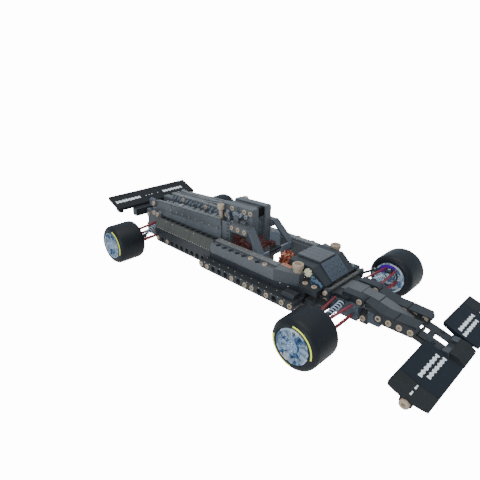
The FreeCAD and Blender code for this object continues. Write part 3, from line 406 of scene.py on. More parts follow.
# Helpers for new pieces: places in metres, sizes in millimetres, way 1 is left and way -1 is right
def keepPiece(form, name, finish, stands=None, body="chassis", sharp=35):
    bmesh.ops.remove_doubles(form, verts=form.verts, dist=0.002 * mm)
    bmesh.ops.recalc_face_normals(form, faces=form.faces)
    for face in form.faces:
        face.smooth = True
    mesh = bpy.data.meshes.new(name)
    form.to_mesh(mesh)
    form.free()
    mesh.set_sharp_from_angle(angle=math.radians(sharp))
    mesh.materials.append(finish)
    piece = bpy.data.objects.new(name, mesh)
    bpy.context.scene.collection.objects.link(piece)
    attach(piece, body)
    if stands:
        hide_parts(stands)


def newForms(count):
    return [bmesh.new() for _ in range(count)]


def turnTo(axis):            # matrix that lays +Z along the given direction
    return up.rotation_difference(Vector(axis)).to_matrix().to_4x4()


def bevelAll(form, verts, soft, steps):
    edges = list(dict.fromkeys(edge for vert in verts for edge in vert.link_edges))
    bmesh.ops.bevel(form, geom=edges, offset=soft * mm, offset_type="OFFSET", affect="EDGES", segments=steps,
                    profile=0.5, material=-1)


def addDrum(form, foot, axis, radius, length, facets=12, topRadius=None):
    axis = Vector(axis).normalized()
    place = Matrix.Translation(foot + axis * length * mm / 2) @ turnTo(axis)
    top = radius if topRadius is None else topRadius
    return bmesh.ops.create_cone(form, cap_ends=True, segments=facets, radius1=radius * mm, radius2=top * mm,
                                 depth=length * mm, matrix=place)["verts"]


def endFace(verts, axis):    # cap of a drum on the side that the axis points to
    faces = dict.fromkeys(face for vert in verts for face in vert.link_faces)
    return max(faces, key=lambda face: face.calc_center_median().dot(axis))


def addCup(form, foot, axis, radius, length, bore, deep, chamfer=0.25, facets=12):  # drum with a hollow end
    axis = Vector(axis).normalized()
    wall, slope = 0.06, 0.7  # how far the bore narrows to its bottom, and the rise of the chamfer
    cap = endFace(addDrum(form, foot, axis, radius, length, facets), axis)
    for thickness, depth in ((chamfer, chamfer * slope), (radius - chamfer - bore, 0.0), (wall, -deep)):
        bmesh.ops.inset_individual(form, faces=[cap], thickness=thickness * mm, depth=depth * mm)


def addBlock(form, low, high, soft=0.0, steps=1, turn=Matrix()):
    low, high = Vector(low), Vector(high)
    place = turn @ Matrix.Translation((low + high) / 2) @ Matrix.Diagonal((*(high - low), 1))
    made = bmesh.ops.create_cube(form, size=1, matrix=place)
    if soft:
        bevelAll(form, made["verts"], soft, steps)


def addBox(form, ahead, side, high, soft=0.0, steps=1, way=1):      # block by its ranges along the car's axes
    inner, outer = sorted(way * value for value in side)
    addBlock(form, spot(ahead[0], inner, high[0]), spot(ahead[1], outer, high[1]), soft, steps)


def addBoxes(form, boxes, halves=ways):
    for way in halves:
        for box in boxes:
            addBox(form, *box, way=way)


def addCups(form, places, axis, cup, halves=ways):     # one cup at each place; without an axis it faces out
    for way in halves:
        for ahead, side, high in places:
            addCup(form, spot(ahead, way * side, high), axis or left * way, *cup)


def addStrip(form, start, end, wide, thick, soft=0.0):     # flat bar laid from one place to another
    run = end - start
    along = run.normalized()
    steep = 0.99             # past this a bar stands upright and has its width across the car
    across = up.cross(along).normalized() if abs(along.z) < steep else left
    turn = Matrix((along, across, along.cross(across))).transposed().to_4x4()
    scale = Matrix.Diagonal((run.length, wide * mm, thick * mm, 1))
    made = bmesh.ops.create_cube(form, size=1, matrix=Matrix.Translation((start + end) / 2) @ turn @ scale)
    if soft:
        bevelAll(form, made["verts"], soft, 2)


linkSet = {"soft": 0.12, "sunk": 0.3, "boss": 0.46, "over": 0.55, "bore": 1.4, "deep": 0.8}


def addLink(form, start, end, wide, thick, holes):     # link with hollow bosses on both faces
    addStrip(form, start, end, wide, thick, linkSet["soft"] * thick)
    for index in range(holes):
        for way in ways:
            place = start.lerp(end, (index + 0.5) / holes) - left * way * linkSet["sunk"] * mm
            addCup(form, place, left * way, linkSet["boss"] * wide, thick / 2 + linkSet["over"],
                   linkSet["bore"], linkSet["deep"])


def addTurned(form, centre, axis, outline, steps=24):       # outline of (radius, along) turned round an axis
    place = Matrix.Translation(centre) @ turnTo(Vector(axis).normalized())
    corners = [form.verts.new(place @ Vector((radius * mm, 0, along * mm))) for radius, along in outline]
    lines = [form.edges.new(pair) for pair in zip(corners, corners[1:])]
    bmesh.ops.spin(form, geom=corners + lines, cent=centre, axis=axis, angle=2 * math.pi, steps=steps,
                   use_merge=True)


def addRing(form, foot, axis, bore, radius, thick, steps=24):      # square ring turned round an axis
    addTurned(form, foot, axis, [(bore, 0), (radius, 0), (radius, thick), (bore, thick), (bore, 0)], steps)


def addArc(form, corners, centre, axis, angle, steps):      # flat section swept round an axis
    section = form.faces.new([form.verts.new(corner) for corner in corners])
    bmesh.ops.spin(form, geom=[section, *section.edges, *section.verts], cent=centre, axis=axis,
                   angle=math.radians(angle), steps=steps)


def addCoil(form, foot, axis, radius, wire, rise, turns, steps=14):     # open coil of round wire
    out = turnTo(axis).to_3x3() @ Vector((1, 0, 0))
    place = Matrix.Translation(foot + out * radius * mm) @ turnTo(axis.cross(out))
    loop = bmesh.ops.create_circle(form, cap_ends=False, segments=6, radius=wire * mm, matrix=place)["verts"]
    edges = list(dict.fromkeys(edge for vert in loop for edge in vert.link_edges))
    bmesh.ops.spin(form, geom=loop + edges, cent=foot, axis=axis, dvec=axis * rise / steps,
                   angle=2 * math.pi * turns, steps=int(turns * steps))
    ends = [edge for edge in form.edges if edge.is_boundary]
    bmesh.ops.holes_fill(form, edges=ends, sides=8)


def onWheel(centre, turn, reach, out=0.0):       # place on a circle round a wheel's axle
    lean = math.radians(turn)
    return centre + Vector((reach * math.cos(lean), out, reach * math.sin(lean))) * mm


# Tyres: one outline turned round each axle, with two printed arcs on the outer wall
tyreSet = {"shoulder": 4.9 * mm, "bead": 0.9 * mm, "steps": 96}
markSet = {"section": ((15.3, 0.25), (16.25, 0.125), (16.25, -0.4), (15.3, -0.4)), "under": 0.2, "arc": 100,
           "steps": 28, "front": (40, 218), "rear": (27, 208)}


def turnedTyre(wheel, turns):
    node, body = wheel + "_tyre", wheel + "_wheel"
    centre, half, bead = middle(node), size(node) / 2, tyreSet["bead"]
    seat = size(wheel + "_rim").z / 2
    form = bmesh.new()
    outline = [(seat, -half.y + bead), (seat + bead, -half.y), (half.z, -half.y), (half.z, half.y),
               (seat + bead, half.y), (seat, half.y - bead)]
    corners = [form.verts.new(centre + Vector((0, across, radius))) for radius, across in outline]
    for pair in zip(corners, corners[1:] + corners[:1]):
        form.edges.new(pair)
    bmesh.ops.bevel(form, geom=corners[2:4], offset=tyreSet["shoulder"], offset_type="OFFSET",
                    affect="VERTICES", segments=8, profile=0.5, material=-1)
    bmesh.ops.spin(form, geom=form.verts[:] + form.edges[:], cent=centre, axis=left, angle=2 * math.pi,
                   steps=tyreSet["steps"], use_merge=True)
    keepPiece(form, node + "_turned", rubber, node, body, sharp=50)

    out = math.copysign(1, centre.y)
    wall = centre + left * out * (half.y - markSet["under"] * mm)
    marks = bmesh.new()
    for turn in turns:
        start = turn - markSet["arc"] / 2
        corners = [onWheel(wall, start, reach, out * lift) for reach, lift in markSet["section"]]
        addArc(marks, corners, centre, -left, markSet["arc"], markSet["steps"])
    keepPiece(marks, node + "_marks", yellow, body=body)


for axleName, sideName, _ in wheels:
    turnedTyre(axleName + "_" + sideName, markSet[axleName])
print("tyres turned")

# Wheel faces: lip, ribs, lugged centre cap, dark drums painted as the shade of holes, and light spots; hub
# ring and studs behind
faceSet = {
    "web": 1.6, "ribs": 20, "rib": ((4.6, -0.3, -2.4), (12.3, 0.3, 0.35), 0.12),
    "lip": ((12.1, -0.2), (12.1, 0.7), (12.4, 1.0), (13.0, 1.0), (13.0, -0.2), (12.1, -0.2)),
    "cap": ((4.4, 0), (4.4, 1.0), (4.0, 1.35), (1.3, 1.35), (1.1, 0.9), (0.02, 0.9)),
    "lugs": range(30, 390, 60), "lugRing": 6.6, "lug": (1.0, 0.5, 0.5, 0.3, 0.1, 10),
    "holes": ((range(0, 360, 60), 3.1, 1.2, 0.42, 0.25), (range(15, 375, 40), 11.2, -0.1, 0.42, 0.3),
              (range(29, 389, 40), 8.6, -0.1, 0.35, 0.3)),
    "spots": (95, 268, 190), "spotRing": 2.0, "spotDrift": 0.006, "spotLift": 1.25, "spot": (0.4, 0.25, 8),
    "dish": 4.8, "hub": (4.9, 5.9, 1.4), "studs": range(0, 360, 36), "studRing": 8.6, "studLift": 0.1,
    "stud": (1.5, 1.1, 0.9, 0.7, 0.15, 10),
}


def wheelFace(wheel, way):
    body = wheel + "_wheel"
    centre, half = middle(wheel + "_rim"), size(wheel + "_rim").y / 2
    axis = left * way
    outer = centre + axis * (half - faceSet["web"] * mm)
    dish = centre - axis * (half - faceSet["dish"] * mm)
    ribs, cap, holes, spots, hub, studs = newForms(6)
    addTurned(ribs, outer, axis, faceSet["lip"], steps=48)
    for index in range(faceSet["ribs"]):
        low, high, soft = faceSet["rib"]
        turn = turnTo(axis) @ Matrix.Rotation(2 * math.pi / faceSet["ribs"] * (index + 0.5), 4, "Z")
        addBlock(ribs, Vector(low) * mm, Vector(high) * mm, soft, turn=Matrix.Translation(outer) @ turn)
    keepPiece(ribs, wheel + "_wheel_ribs", rimPaint, body=body)

    addTurned(cap, outer, axis, faceSet["cap"])
    for turn in faceSet["lugs"]:
        addCup(cap, onWheel(outer, turn, faceSet["lugRing"]), axis, *faceSet["lug"])
    keepPiece(cap, wheel + "_wheel_cap", hubPaint, body=body)

    # dark drums on the face, painted as the shade in its holes
    for turns, reach, lift, radius, length in faceSet["holes"]:
        for turn in turns:
            addDrum(holes, onWheel(outer, turn, reach, way * lift), axis, radius, length, facets=8)
    keepPiece(holes, wheel + "_wheel_hole_shade", deepGreyAndShade, body=body)

    for turn in faceSet["spots"]:
        reach = faceSet["spotRing"] + faceSet["spotDrift"] * turn
        addDrum(spots, onWheel(outer, turn, reach, way * faceSet["spotLift"]), axis, *faceSet["spot"])
    keepPiece(spots, wheel + "_wheel_spots", pale, body=body)

    addRing(hub, dish, -axis, *faceSet["hub"])
    keepPiece(hub, wheel + "_hub_ring", deepGreyAndShade, body=body)
    for turn in faceSet["studs"]:
        place = onWheel(dish, turn, faceSet["studRing"], way * faceSet["studLift"])
        addCup(studs, place, -axis, *faceSet["stud"])
    # studs in the dish share its paler tone, partly painted light
    keepPiece(studs, wheel + "_dish_studs", dishLitPaint, body=body)


for axleName, sideName, way in wheels:
    wheelFace(axleName + "_" + sideName, way)
print("wheel faces built")

# Pins: hollow friction pins stand where the frame has its plain ones, and in more of the holes
pinSet = {
    "radius": 2.3, "bore": 1.2, "deep": 2.0, "share": 0.7, "small": (1.75, 1.6, 0.9, 1.0),
    "smallAt": ((-12.6, 26.0, 32.2),), "sidewaysLong": 1.7, "uprightLong": 3.2,
    "sideways": ((-126.7, 11.4, 68.2), (-111.4, 11.4, 68.2), (-104.0, 11.4, 68.2), (-134.8, 11.4, 60.0),
                 (-236.8, 23.6, 50.0), (-235.3, 25.0, 40.0), (-229.0, 25.0, 39.2), (-248.0, 24.0, 35.0),
                 (-206.0, 6.6, 57.0), (-170.0, 6.6, 57.6), (-148.0, 6.6, 59.0), (-16.2, 18.6, 21.4)),
    "upright": ((-84.0, 32.8, 36.3), (-68.0, 32.8, 36.3), (-31.4, 26.5, 30.5), (-22.7, 26.7, 30.5)),
    "tipLength": 1.9, "tipFlange": (3.2, 2.2, 1.3, 1.6, 0.5, 16), "flangeBack": 2.2,
    "tipCollar": (2.4, 3.9, 1.2), "collarBack": 2.4,
}


def pinCup(length):
    return pinSet["radius"], length, pinSet["bore"], min(pinSet["deep"], pinSet["share"] * length)


def centreOf(low, high, across):         # middle of a solid, with its place across the car given
    return Vector(((low.x + high.x) / 2, across, (low.z + high.z) / 2))


pins, panelPins, tips, collars = newForms(4)
for low, high in islands("side_pins"):
    way, near, far = outward(low, high)
    addCup(pins, centreOf(low, high, near), left * way, *pinCup((high.y - low.y) / mm))
keepPiece(pins, "hollow_pins", tan, "side_pins")

addCups(panelPins, pinSet["sideways"], None, pinCup(pinSet["sidewaysLong"]))
addCups(panelPins, pinSet["upright"], up, pinCup(pinSet["uprightLong"]))
addCups(panelPins, pinSet["smallAt"], None, pinSet["small"])
keepPiece(panelPins, "panel_pins", tan)

for low, high in islands("front_wing_pins"):
    way, near, far = outward(low, high)
    flangeAt, collarAt = (far - way * pinSet[name] * mm for name in ("flangeBack", "collarBack"))
    addCup(tips, centreOf(low, high, near), left * way, *pinCup(abs(far - near) / mm - pinSet["tipLength"]))
    addCup(tips, centreOf(low, high, flangeAt), left * way, *pinSet["tipFlange"])
    addRing(collars, centreOf(low, high, collarAt), -left * way, *pinSet["tipCollar"])
keepPiece(tips, "wing_tip_pins", tan, "front_wing_pins")
keepPiece(collars, "wing_tip_collars", hubPaint)

# Posts beside the airbox and knobs on the pods, turned with a hollow top
postSet = {"shaft": 1.75, "head": 3.3, "bore": 1.7, "headDeep": 4.8, "cupDeep": 3.2, "drop": 0, "steps": 24}
knobSet = {"shaft": 3.7, "head": 4.6, "bore": 2.6, "headDeep": 3.6, "cupDeep": 5.0, "drop": 1.8, "steps": 32,
           "teeth": 8, "toothAt": 0.82, "tooth": (0.75, 0.6, 8, 0.6), "cross": ((2.4, 0.45), (0.45, 2.4)),
           "crossHigh": (4.0, 1.0)}


def turnedPost(form, low, high, want):       # gives the foot and the height of the post
    foot = Vector(((low.x + high.x) / 2, (low.y + high.y) / 2, low.z))
    tall = (high.z - low.z) / mm - want["drop"]
    neck, floor = tall - want["headDeep"], tall - want["cupDeep"]
    shaft, head, bore = want["shaft"], want["head"], want["bore"]
    core, rim, slope, mouth = 0.02, 0.4, 1.0, 0.2
    outline = [(core, 0), (shaft, 0), (shaft, neck - slope), (head, neck + rim), (head, tall - rim),
               (head - rim, tall), (bore + mouth, tall), (bore, tall - rim), (bore, floor), (core, floor)]
    addTurned(form, foot, up, outline, want["steps"])
    return foot, tall


posts, knobs = newForms(2)
for low, high in islands("head_posts"):
    turnedPost(posts, low, high, postSet)
keepPiece(posts, "turned_posts", tan, "head_posts")

for low, high in islands("mirrors"):
    foot, tall = turnedPost(knobs, low, high, knobSet)
    reach = knobSet["toothAt"] * knobSet["head"]
    for index in range(knobSet["teeth"]):
        lean = 2 * math.pi * (index + 0.5) / knobSet["teeth"]
        place = Vector((reach * math.cos(lean), reach * math.sin(lean), tall - knobSet["tooth"][1])) * mm
        addDrum(knobs, foot + place, up, *knobSet["tooth"])
    deep, shallow = knobSet["crossHigh"]
    for x, y in knobSet["cross"]:
        addBlock(knobs, foot + Vector((-x, -y, tall - deep)) * mm, foot + Vector((x, y, tall - shallow)) * mm)
keepPiece(knobs, "crowned_knobs", tan, "mirrors")

podSet = {"from": -131.0, "to": -57.4, "parts": 3, "side": (24.4, 30.6), "level": (40.2, 41.0), "gap": 0.15,
          "soft": 0.25}
strips = bmesh.new()
length = (podSet["to"] - podSet["from"]) / podSet["parts"]
for index in range(podSet["parts"]):
    start = podSet["from"] + length * index
    span = (start + podSet["gap"], start + length - podSet["gap"])
    addBoxes(strips, [(span, podSet["side"], podSet["level"], podSet["soft"])])
keepPiece(strips, "pod_top_strips", topGrey)
print("pins, posts and knobs built")

# Spring legs: coil, rod and end cups between the same seats as the frame's
springSet = {"coil": 2.1, "wire": 0.48, "turns": 6, "rod": 1.35, "cupAt": (2.0, 1.0), "coilFrom": 4.0,
             "coilShort": 7.4, "lean": {"front": 4.4, "rear": 10.5}, "lift": {"front": 1.6, "rear": -1.2},
             "outerCup": (2.3, 1.6, 1.1, 0.6), "innerCup": (2.3, 1.8, 1.1, 0.6)}
coils, rods = newForms(2)
for low, high in islands("dampers"):
    axleName = "front" if low.x > (frontX + rearX) / 2 else "rear"
    way, near, far = outward(low, high)
    lean = up * springSet["lean"][axleName] * mm / 2
    centre = centreOf(low, high, 0) + up * springSet["lift"][axleName] * mm
    outer, inner = centre + left * far - lean, centre + left * near + lean
    axis, run = (inner - outer).normalized(), (inner - outer).length / mm
    addDrum(rods, outer, axis, springSet["rod"], run, facets=10)
    addCup(rods, outer + axis * springSet["cupAt"][0] * mm, axis, *springSet["outerCup"])
    addCup(rods, inner - axis * springSet["cupAt"][1] * mm, -axis, *springSet["innerCup"])
    addCoil(coils, outer + axis * springSet["coilFrom"] * mm, axis, springSet["coil"], springSet["wire"],
            (run - springSet["coilShort"]) * mm / springSet["turns"], springSet["turns"])
keepPiece(coils, "spring_coils", silver, "dampers")
keepPiece(rods, "spring_rods", black)
print("springs wound")

# Engine valley between the spine and the side panels: rows of hollow studs, bushes, blocks and links
valleySet = {
    "from": -230.0, "to": -143.0, "step": 2.9, "rows": (8.9, 12.1, 15.2, 18.0), "deckSide": 21.2,
    "under": 3.4, "rise": 0.7, "drop": 0.6, "floor": 43.5, "link": (1.3, 1.2, 0.4, 0.25),
    "block": (1.2, 0.7, 3.0, 0.9, 0.3), "stud": (1.35, 2.4, 0.75, 0.9, 0.15, 8), "studDown": 2.4,
    "bush": (1.3, 2.6, 0.7, 0.7, 0.15, 8), "bushIn": 1.4, "bushDown": 0.4,
}
shoulderSet = {
    "from": -226.0, "to": -147.0, "parts": 4, "gap": 0.2, "levels": (60.2, 61.9),
    "strip": ((4.2, 8.0), 1.6, 0.4, 0.35), "wall": ((4.2, 6.7), 43.5, 1.5, 0.3),
    "bushes": 7, "bushSide": 6.5, "bushDown": (3.4, 5.2), "radius": 1.35, "long": (1.0, 1.5, 2.0),
    "end": (0.75, 0.7, 0.15, 8),
}
deckHeight = topSurface("deck_side_panels")
studs, bushes, links, shoulders, walls = newForms(5)


def around(value, half):
    return value - half, value + half


def valleyPiece(kind, ahead, side, tall, way):
    if kind in (0, 3):
        addCup(studs, spot(ahead, side, tall - valleySet["studDown"]), up, *valleySet["stud"])
    elif kind == 1:
        long, wide, over, soft = valleySet["link"]
        addBox(links, around(ahead, long), around(side, wide), (valleySet["floor"], tall + over), soft)
    elif kind == 2:
        place = spot(ahead, side - way * valleySet["bushIn"], tall - valleySet["bushDown"])
        addCup(bushes, place, left * way, *valleySet["bush"])
    else:
        long, wide, under, over, soft = valleySet["block"]
        addBox(bushes, around(ahead, long), around(side, wide), (tall - under, tall + over), soft)


for way in ways:
    for index in range(int((valleySet["to"] - valleySet["from"]) / valleySet["step"])):
        ahead = valleySet["from"] + valleySet["step"] * (index + 0.5)
        level = deckHeight(frontX + ahead * mm, way * valleySet["deckSide"] * mm) / mm - valleySet["under"]
        for row, side in enumerate(valleySet["rows"]):
            tall = level + valleySet["rise"] * ((index + 2 * row) % 3) - valleySet["drop"]
            valleyPiece((index * 3 + row * 2 + index // 4) % 5, ahead, way * side, tall, way)
low, high = shoulderSet["levels"]
length = (shoulderSet["to"] - shoulderSet["from"]) / shoulderSet["parts"]
for index in range(shoulderSet["parts"]):
    start = shoulderSet["from"] + length * index
    level = low + (high - low) * index / (shoulderSet["parts"] - 1)
    span = (start + shoulderSet["gap"], start + length - shoulderSet["gap"])
    side, under, over, soft = shoulderSet["strip"]
    addBoxes(shoulders, [(span, side, (level - under, level + over), soft)])
    side, floor, under, soft = shoulderSet["wall"]
    addBoxes(walls, [(span, side, (floor, level - under), soft)])
    for step in range(shoulderSet["bushes"]):
        place = (start + length * (step + 0.5) / shoulderSet["bushes"], shoulderSet["bushSide"],
                 level - shoulderSet["bushDown"][step % 2])
        cup = (shoulderSet["radius"], shoulderSet["long"][step % 3], *shoulderSet["end"])
        addCups(bushes, [place], None, cup)
# studs and links take the lighter valley grey: painted light in the valley's shade
keepPiece(studs, "valley_studs", valleyLitGrey)
keepPiece(bushes, "valley_bushes", bushGrey)
keepPiece(links, "valley_links", valleyLitGrey)
keepPiece(shoulders, "shoulder_strips", topGrey)
keepPiece(walls, "shoulder_walls", grey)

# Airbox: short beams, bushes and holes on its sides; plates, studs and a black plate painted as the shade of
# a recess on its front
airboxSet = {
    "beams": (((-133.4, -129.6), (12.4, 14.6), (52.5, 66.0), 0.8, 2),
              ((-120.9, -117.1), (12.4, 14.6), (56.0, 66.5), 0.8, 2),
              ((-109.4, -105.6), (12.4, 14.6), (63.5, 66.0), 0.8, 2)),
    "bushes": ((-122.5, 12.2, 64.0), (-115.0, 12.2, 64.5), (-126.0, 12.2, 54.5), (-108.0, 12.2, 64.5)),
    "holes": ((-119.0, 12.2, 69.0), (-134.6, 12.2, 53.0), (-128.6, 12.2, 61.5), (-112.0, 12.2, 65.0)),
    "bush": (2.0, 2.6, 1.1, 1.0), "hole": (1.7, 0.35, 1.3, 0.3, 0.05),
    "plates": (((-106.4, -103.4), (-4.6, 4.6), (44.6, 50.2), 0.4),
               ((-106.4, -103.2), (-4.6, 4.6), (50.5, 57.4), 0.4)),
    "dark": ((-106.4, -102.7), (-4.6, 4.6), (63.2, 71.0), 0.15),
    "panel": ((-106.4, -103.6), (-4.6, 4.6), (57.4, 63.2), 0.15), "stud": (1.2, 1.3, 0.7, 0.7, 0.2, 10),
    "studs": ((-104.0, -2.6, 58.8), (-104.0, 0.4, 61.4), (-104.0, 2.9, 59.4), (-104.0, 3.2, 62.0)),
}
beams, bushes, holes, plate, recess, panel = newForms(6)
addBoxes(beams, airboxSet["beams"])
addCups(bushes, airboxSet["bushes"], None, airboxSet["bush"])
addCups(holes, airboxSet["holes"], None, airboxSet["hole"])
addBoxes(plate, airboxSet["plates"], (1,))
# black plate where the recess is, painted as its shade
addBox(recess, *airboxSet["dark"])
addBox(panel, *airboxSet["panel"])
addCups(panel, airboxSet["studs"], forward, airboxSet["stud"], (1,))
keepPiece(plate, "airbox_front_plates", strutGrey)
keepPiece(recess, "airbox_recess_shade", recessShadeBlack)
keepPiece(panel, "airbox_front_studs", bulkheadGrey)
keepPiece(beams, "airbox_links", mixedGrey)
keepPiece(bushes, "airbox_bushes", bushGrey)
keepPiece(holes, "airbox_holes", black)
print("engine valley and airbox dressed")

# Engine deck: strips on the spine, rails on the side panels and the panels' forward ends
deckSet = {
    "strips": {"from": -229.0, "to": -141.5, "parts": 5, "gaps": (0.0, 0.4), "lift": 0.25,
               "bar": (2.3, 0.7, 0.2)},
    "rails": {"from": -232.0, "to": -132.5, "parts": 12, "gaps": (0.25, 0.25), "lift": 0.3,
              "bar": (3.2, 0.8, 0.25)},
    "stripSides": (-2.6, 2.6), "railSide": 21.2,
    "ends": (((-131.9, -121.5), (19.4, 21.4), (39.8, 57.4), 0.5),
             ((-123.5, -121.9), (12.6, 19.2), (39.8, 48.4), 0.4),
             ((-250.5, -224.5), (21.5, 25.2), (36.6, 41.2), 0.5),
             ((-246.0, -236.4), (19.6, 23.8), (45.4, 53.0), 0.5)),
    "gearbox": (((-250.5, -231.0), (-5.6, 5.6), (39.1, 44.6), 1.2, 2),
                ((-248.0, -231.0), (-3.6, 3.6), (44.4, 52.0), 1.0, 2)),
    "slots": 5, "slot": (-125.1, -122.5, 21.2, 21.75), "slotHigh": (41.4, 1.6, 3.4),
    "blocks": 9, "block": (-250.0, 2.1, 2.9), "blockSides": (22.0, 24.0), "blockHigh": (38.6, 41.2, 0.8, 0.3),
    "pins": ((-243.5, 21.6, 52.6), (-239.0, 21.6, 52.6)), "pin": (1.7, 1.6, 1.0, 1.0, 0.15, 10),
    "studColumns": 5, "studFrom": (-249.0, 3.9, 39.2), "studSides": (8.7, 12.6, 16.5), "studRadius": 1.5,
    "studLong": (1.2, 2.0), "studEnd": (0.9, 0.9, 0.2, 8),
}


def layStrips(form, height, side, want):     # row of bars that follow the surface under them
    length = (want["to"] - want["from"]) / want["parts"]
    for index in range(want["parts"]):
        back = want["from"] + length * index
        start, end = spot(back + want["gaps"][0], side, 0), spot(back + length - want["gaps"][1], side, 0)
        for place in (start, end):
            place.z = height(place.x, place.y) + want["lift"] * mm
        addStrip(form, start, end, *want["bar"])


strips, rails, ends, slots, lumps = newForms(5)
for side in deckSet["stripSides"]:
    layStrips(strips, topSurface("engine_spine"), side, deckSet["strips"])
keepPiece(strips, "spine_strips", topGrey)
for way in ways:
    layStrips(rails, deckHeight, way * deckSet["railSide"], deckSet["rails"])
addBoxes(ends, deckSet["ends"])
addBoxes(ends, deckSet["gearbox"], (1,))
# thin dark blocks on the panels' forward ends, painted as the shade in slots
back, front, inner, outer = deckSet["slot"]
foot, tall, step = deckSet["slotHigh"]
for level in range(deckSet["slots"]):
    low = foot + step * level
    addBoxes(slots, [((back, front), (inner, outer), (low, low + tall))])
first, long, step = deckSet["block"]
foot, top, rise, soft = deckSet["blockHigh"]
for index in range(deckSet["blocks"]):
    ahead = first + step * index
    addBoxes(lumps, [((ahead, ahead + long), deckSet["blockSides"], (foot, top + rise * (index % 3)), soft)])
addCups(lumps, deckSet["pins"], up, deckSet["pin"])
first, step, foot = deckSet["studFrom"]
for index in range(deckSet["studColumns"]):
    places = [(first + step * index, side, foot) for side in deckSet["studSides"]]
    addCups(lumps, places, up, (deckSet["studRadius"], deckSet["studLong"][index % 2], *deckSet["studEnd"]))
keepPiece(rails, "deck_rails", topGrey)
keepPiece(ends, "deck_end_panels", grey)
keepPiece(slots, "deck_end_slot_shade", deepGreyAndShade)
keepPiece(lumps, "gearbox_studs", mixedGrey)

# Floor between the pods and the sills, and ahead of the foot blocks
floorSet = {"boxes": (((-139.0, -56.2), (30.0, 35.9), (22.4, 23.2), 0.2),
                      ((-56.0, -31.5), (24.5, 35.9), (22.4, 23.2), 0.2),
                      ((-28.0, -10.2), (20.3, 31.5), (17.2, 23.0), 1.2, 3)),
            "rings": ((-24.0, 31.3, 20.0), (-16.0, 31.3, 20.0)), "ring": (2.9, 0.4, 2.3, 0.35, 0.1)}
plates = bmesh.new()
addBoxes(plates, floorSet["boxes"])
addCups(plates, floorSet["rings"], None, floorSet["ring"])
keepPiece(plates, "floor_plates", black)
print("deck and floor plates built")

# Seat: curved back shell with brown brackets and links round it
seatSet = {
    "centre": (-93.0, 0.0), "sweep": 190, "steps": 28,
    "section": ((14.6, 33.0), (15.8, 33.0), (15.8, 45.8), (15.2, 46.4), (14.6, 45.8)),
    "bracket": ((-122.3, -114.6), (12.6, 15.9), (34.0, 43.4), 0.5), "linkSide": 14.2,
    "sideLinks": ((-114.0, 41.0, -102.0, 37.2, 4.6, 2.8, 2), (-113.5, 36.2, -99.5, 33.0, 4.6, 2.8, 2),
                  (-104.0, 39.8, -99.0, 34.4, 3.4, 2.4, 1)),
    "backLinks": ((-107.0, 1.0, 43.6, -98.5, 35.4, 5.4, 3.4, 2), (-99.5, 4.6, 36.6, -90.0, 39.6, 4.6, 3.4, 2),
                  (-106.6, -5.0, 42.6, -99.0, 37.0, 4.2, 3.4, 2)),
    "holes": ((-118.5, 15.6, 38.7),), "hole": (2.6, 0.5, 1.7, 0.45, 0.1),
    "bars": ((-98.8, -10.6, 34.8, 1.9, 21.2), (-107.2, -9.4, 42.2, 1.9, 18.8)),
    "slatSides": (-8.0, 0.0, 8.0), "slatWide": 7.0,
    "slats": ((-121.0, 24.0, -103.5, 24.0, 1.0, 0.25), (-109.5, 26.0, -105.0, 40.0, 1.4, 0.3)),
    "walls": (((-84.6, -82.8), (6.5, 21.6), (29.5, 38.4), 0.4),
              ((-84.6, -82.8), (-21.6, -9.5), (29.5, 38.4), 0.4)),
    "beam": ((-84.4, -83.0), (-9.6, 6.6), (35.8, 38.2), 0.3), "beamPin": (-83.2, -2.0, 36.8),
    "beamCup": (1.8, 0.6, 1.2, 0.5, 0.15), "wallPin": (0.9, 0.3, 0.6, 0.2, 0.05, 8),
    "wallPins": ((-82.9, 9.0, 31.6), (-82.9, 12.4, 31.6), (-82.9, 15.8, 31.6), (-82.9, 19.2, 31.6)),
}
shell, brackets, base, walls, dark = newForms(5)
ahead, side = seatSet["centre"]
turn = math.radians(180 + seatSet["sweep"] / 2)
corners = [spot(ahead + reach * math.cos(turn), side + reach * math.sin(turn), level)
           for reach, level in seatSet["section"]]
addArc(shell, corners, spot(ahead, side, 0), -up, seatSet["sweep"], seatSet["steps"])
# the shell's lighter grey is painted light where the cockpit lies in shade
keepPiece(shell, "seat_shell", seatLitGrey, "seat")

addBoxes(brackets, [seatSet["bracket"]])
addCups(brackets, seatSet["holes"], None, seatSet["hole"])
for side in (seatSet["linkSide"], -seatSet["linkSide"]):
    for back, top, front, foot, wide, thick, bores in seatSet["sideLinks"]:
        addLink(brackets, spot(back, side, top), spot(front, side, foot), wide, thick, bores)
for back, side, top, front, foot, wide, thick, bores in seatSet["backLinks"]:
    addLink(brackets, spot(back, side, top), spot(front, side, foot), wide, thick, bores)
for ahead, side, level, radius, length in seatSet["bars"]:
    addDrum(brackets, spot(ahead, side, level), left, radius, length)
keepPiece(brackets, "seat_brackets", brown)

for side in seatSet["slatSides"]:
    for back, foot, front, top, thick, soft in seatSet["slats"]:
        addStrip(base, spot(back, side, foot), spot(front, side, top), seatSet["slatWide"], thick, soft)
keepPiece(base, "seat_base", brown)

addBoxes(walls, seatSet["walls"], (1,))
addBox(dark, *seatSet["beam"])
addCup(dark, spot(*seatSet["beamPin"]), forward, *seatSet["beamCup"])
addCups(dark, seatSet["wallPins"], forward, seatSet["wallPin"], (1,))
# the front walls share the shell's painted light
keepPiece(walls, "seat_front_walls", seatLitGrey)
keepPiece(dark, "seat_front_beam", black)

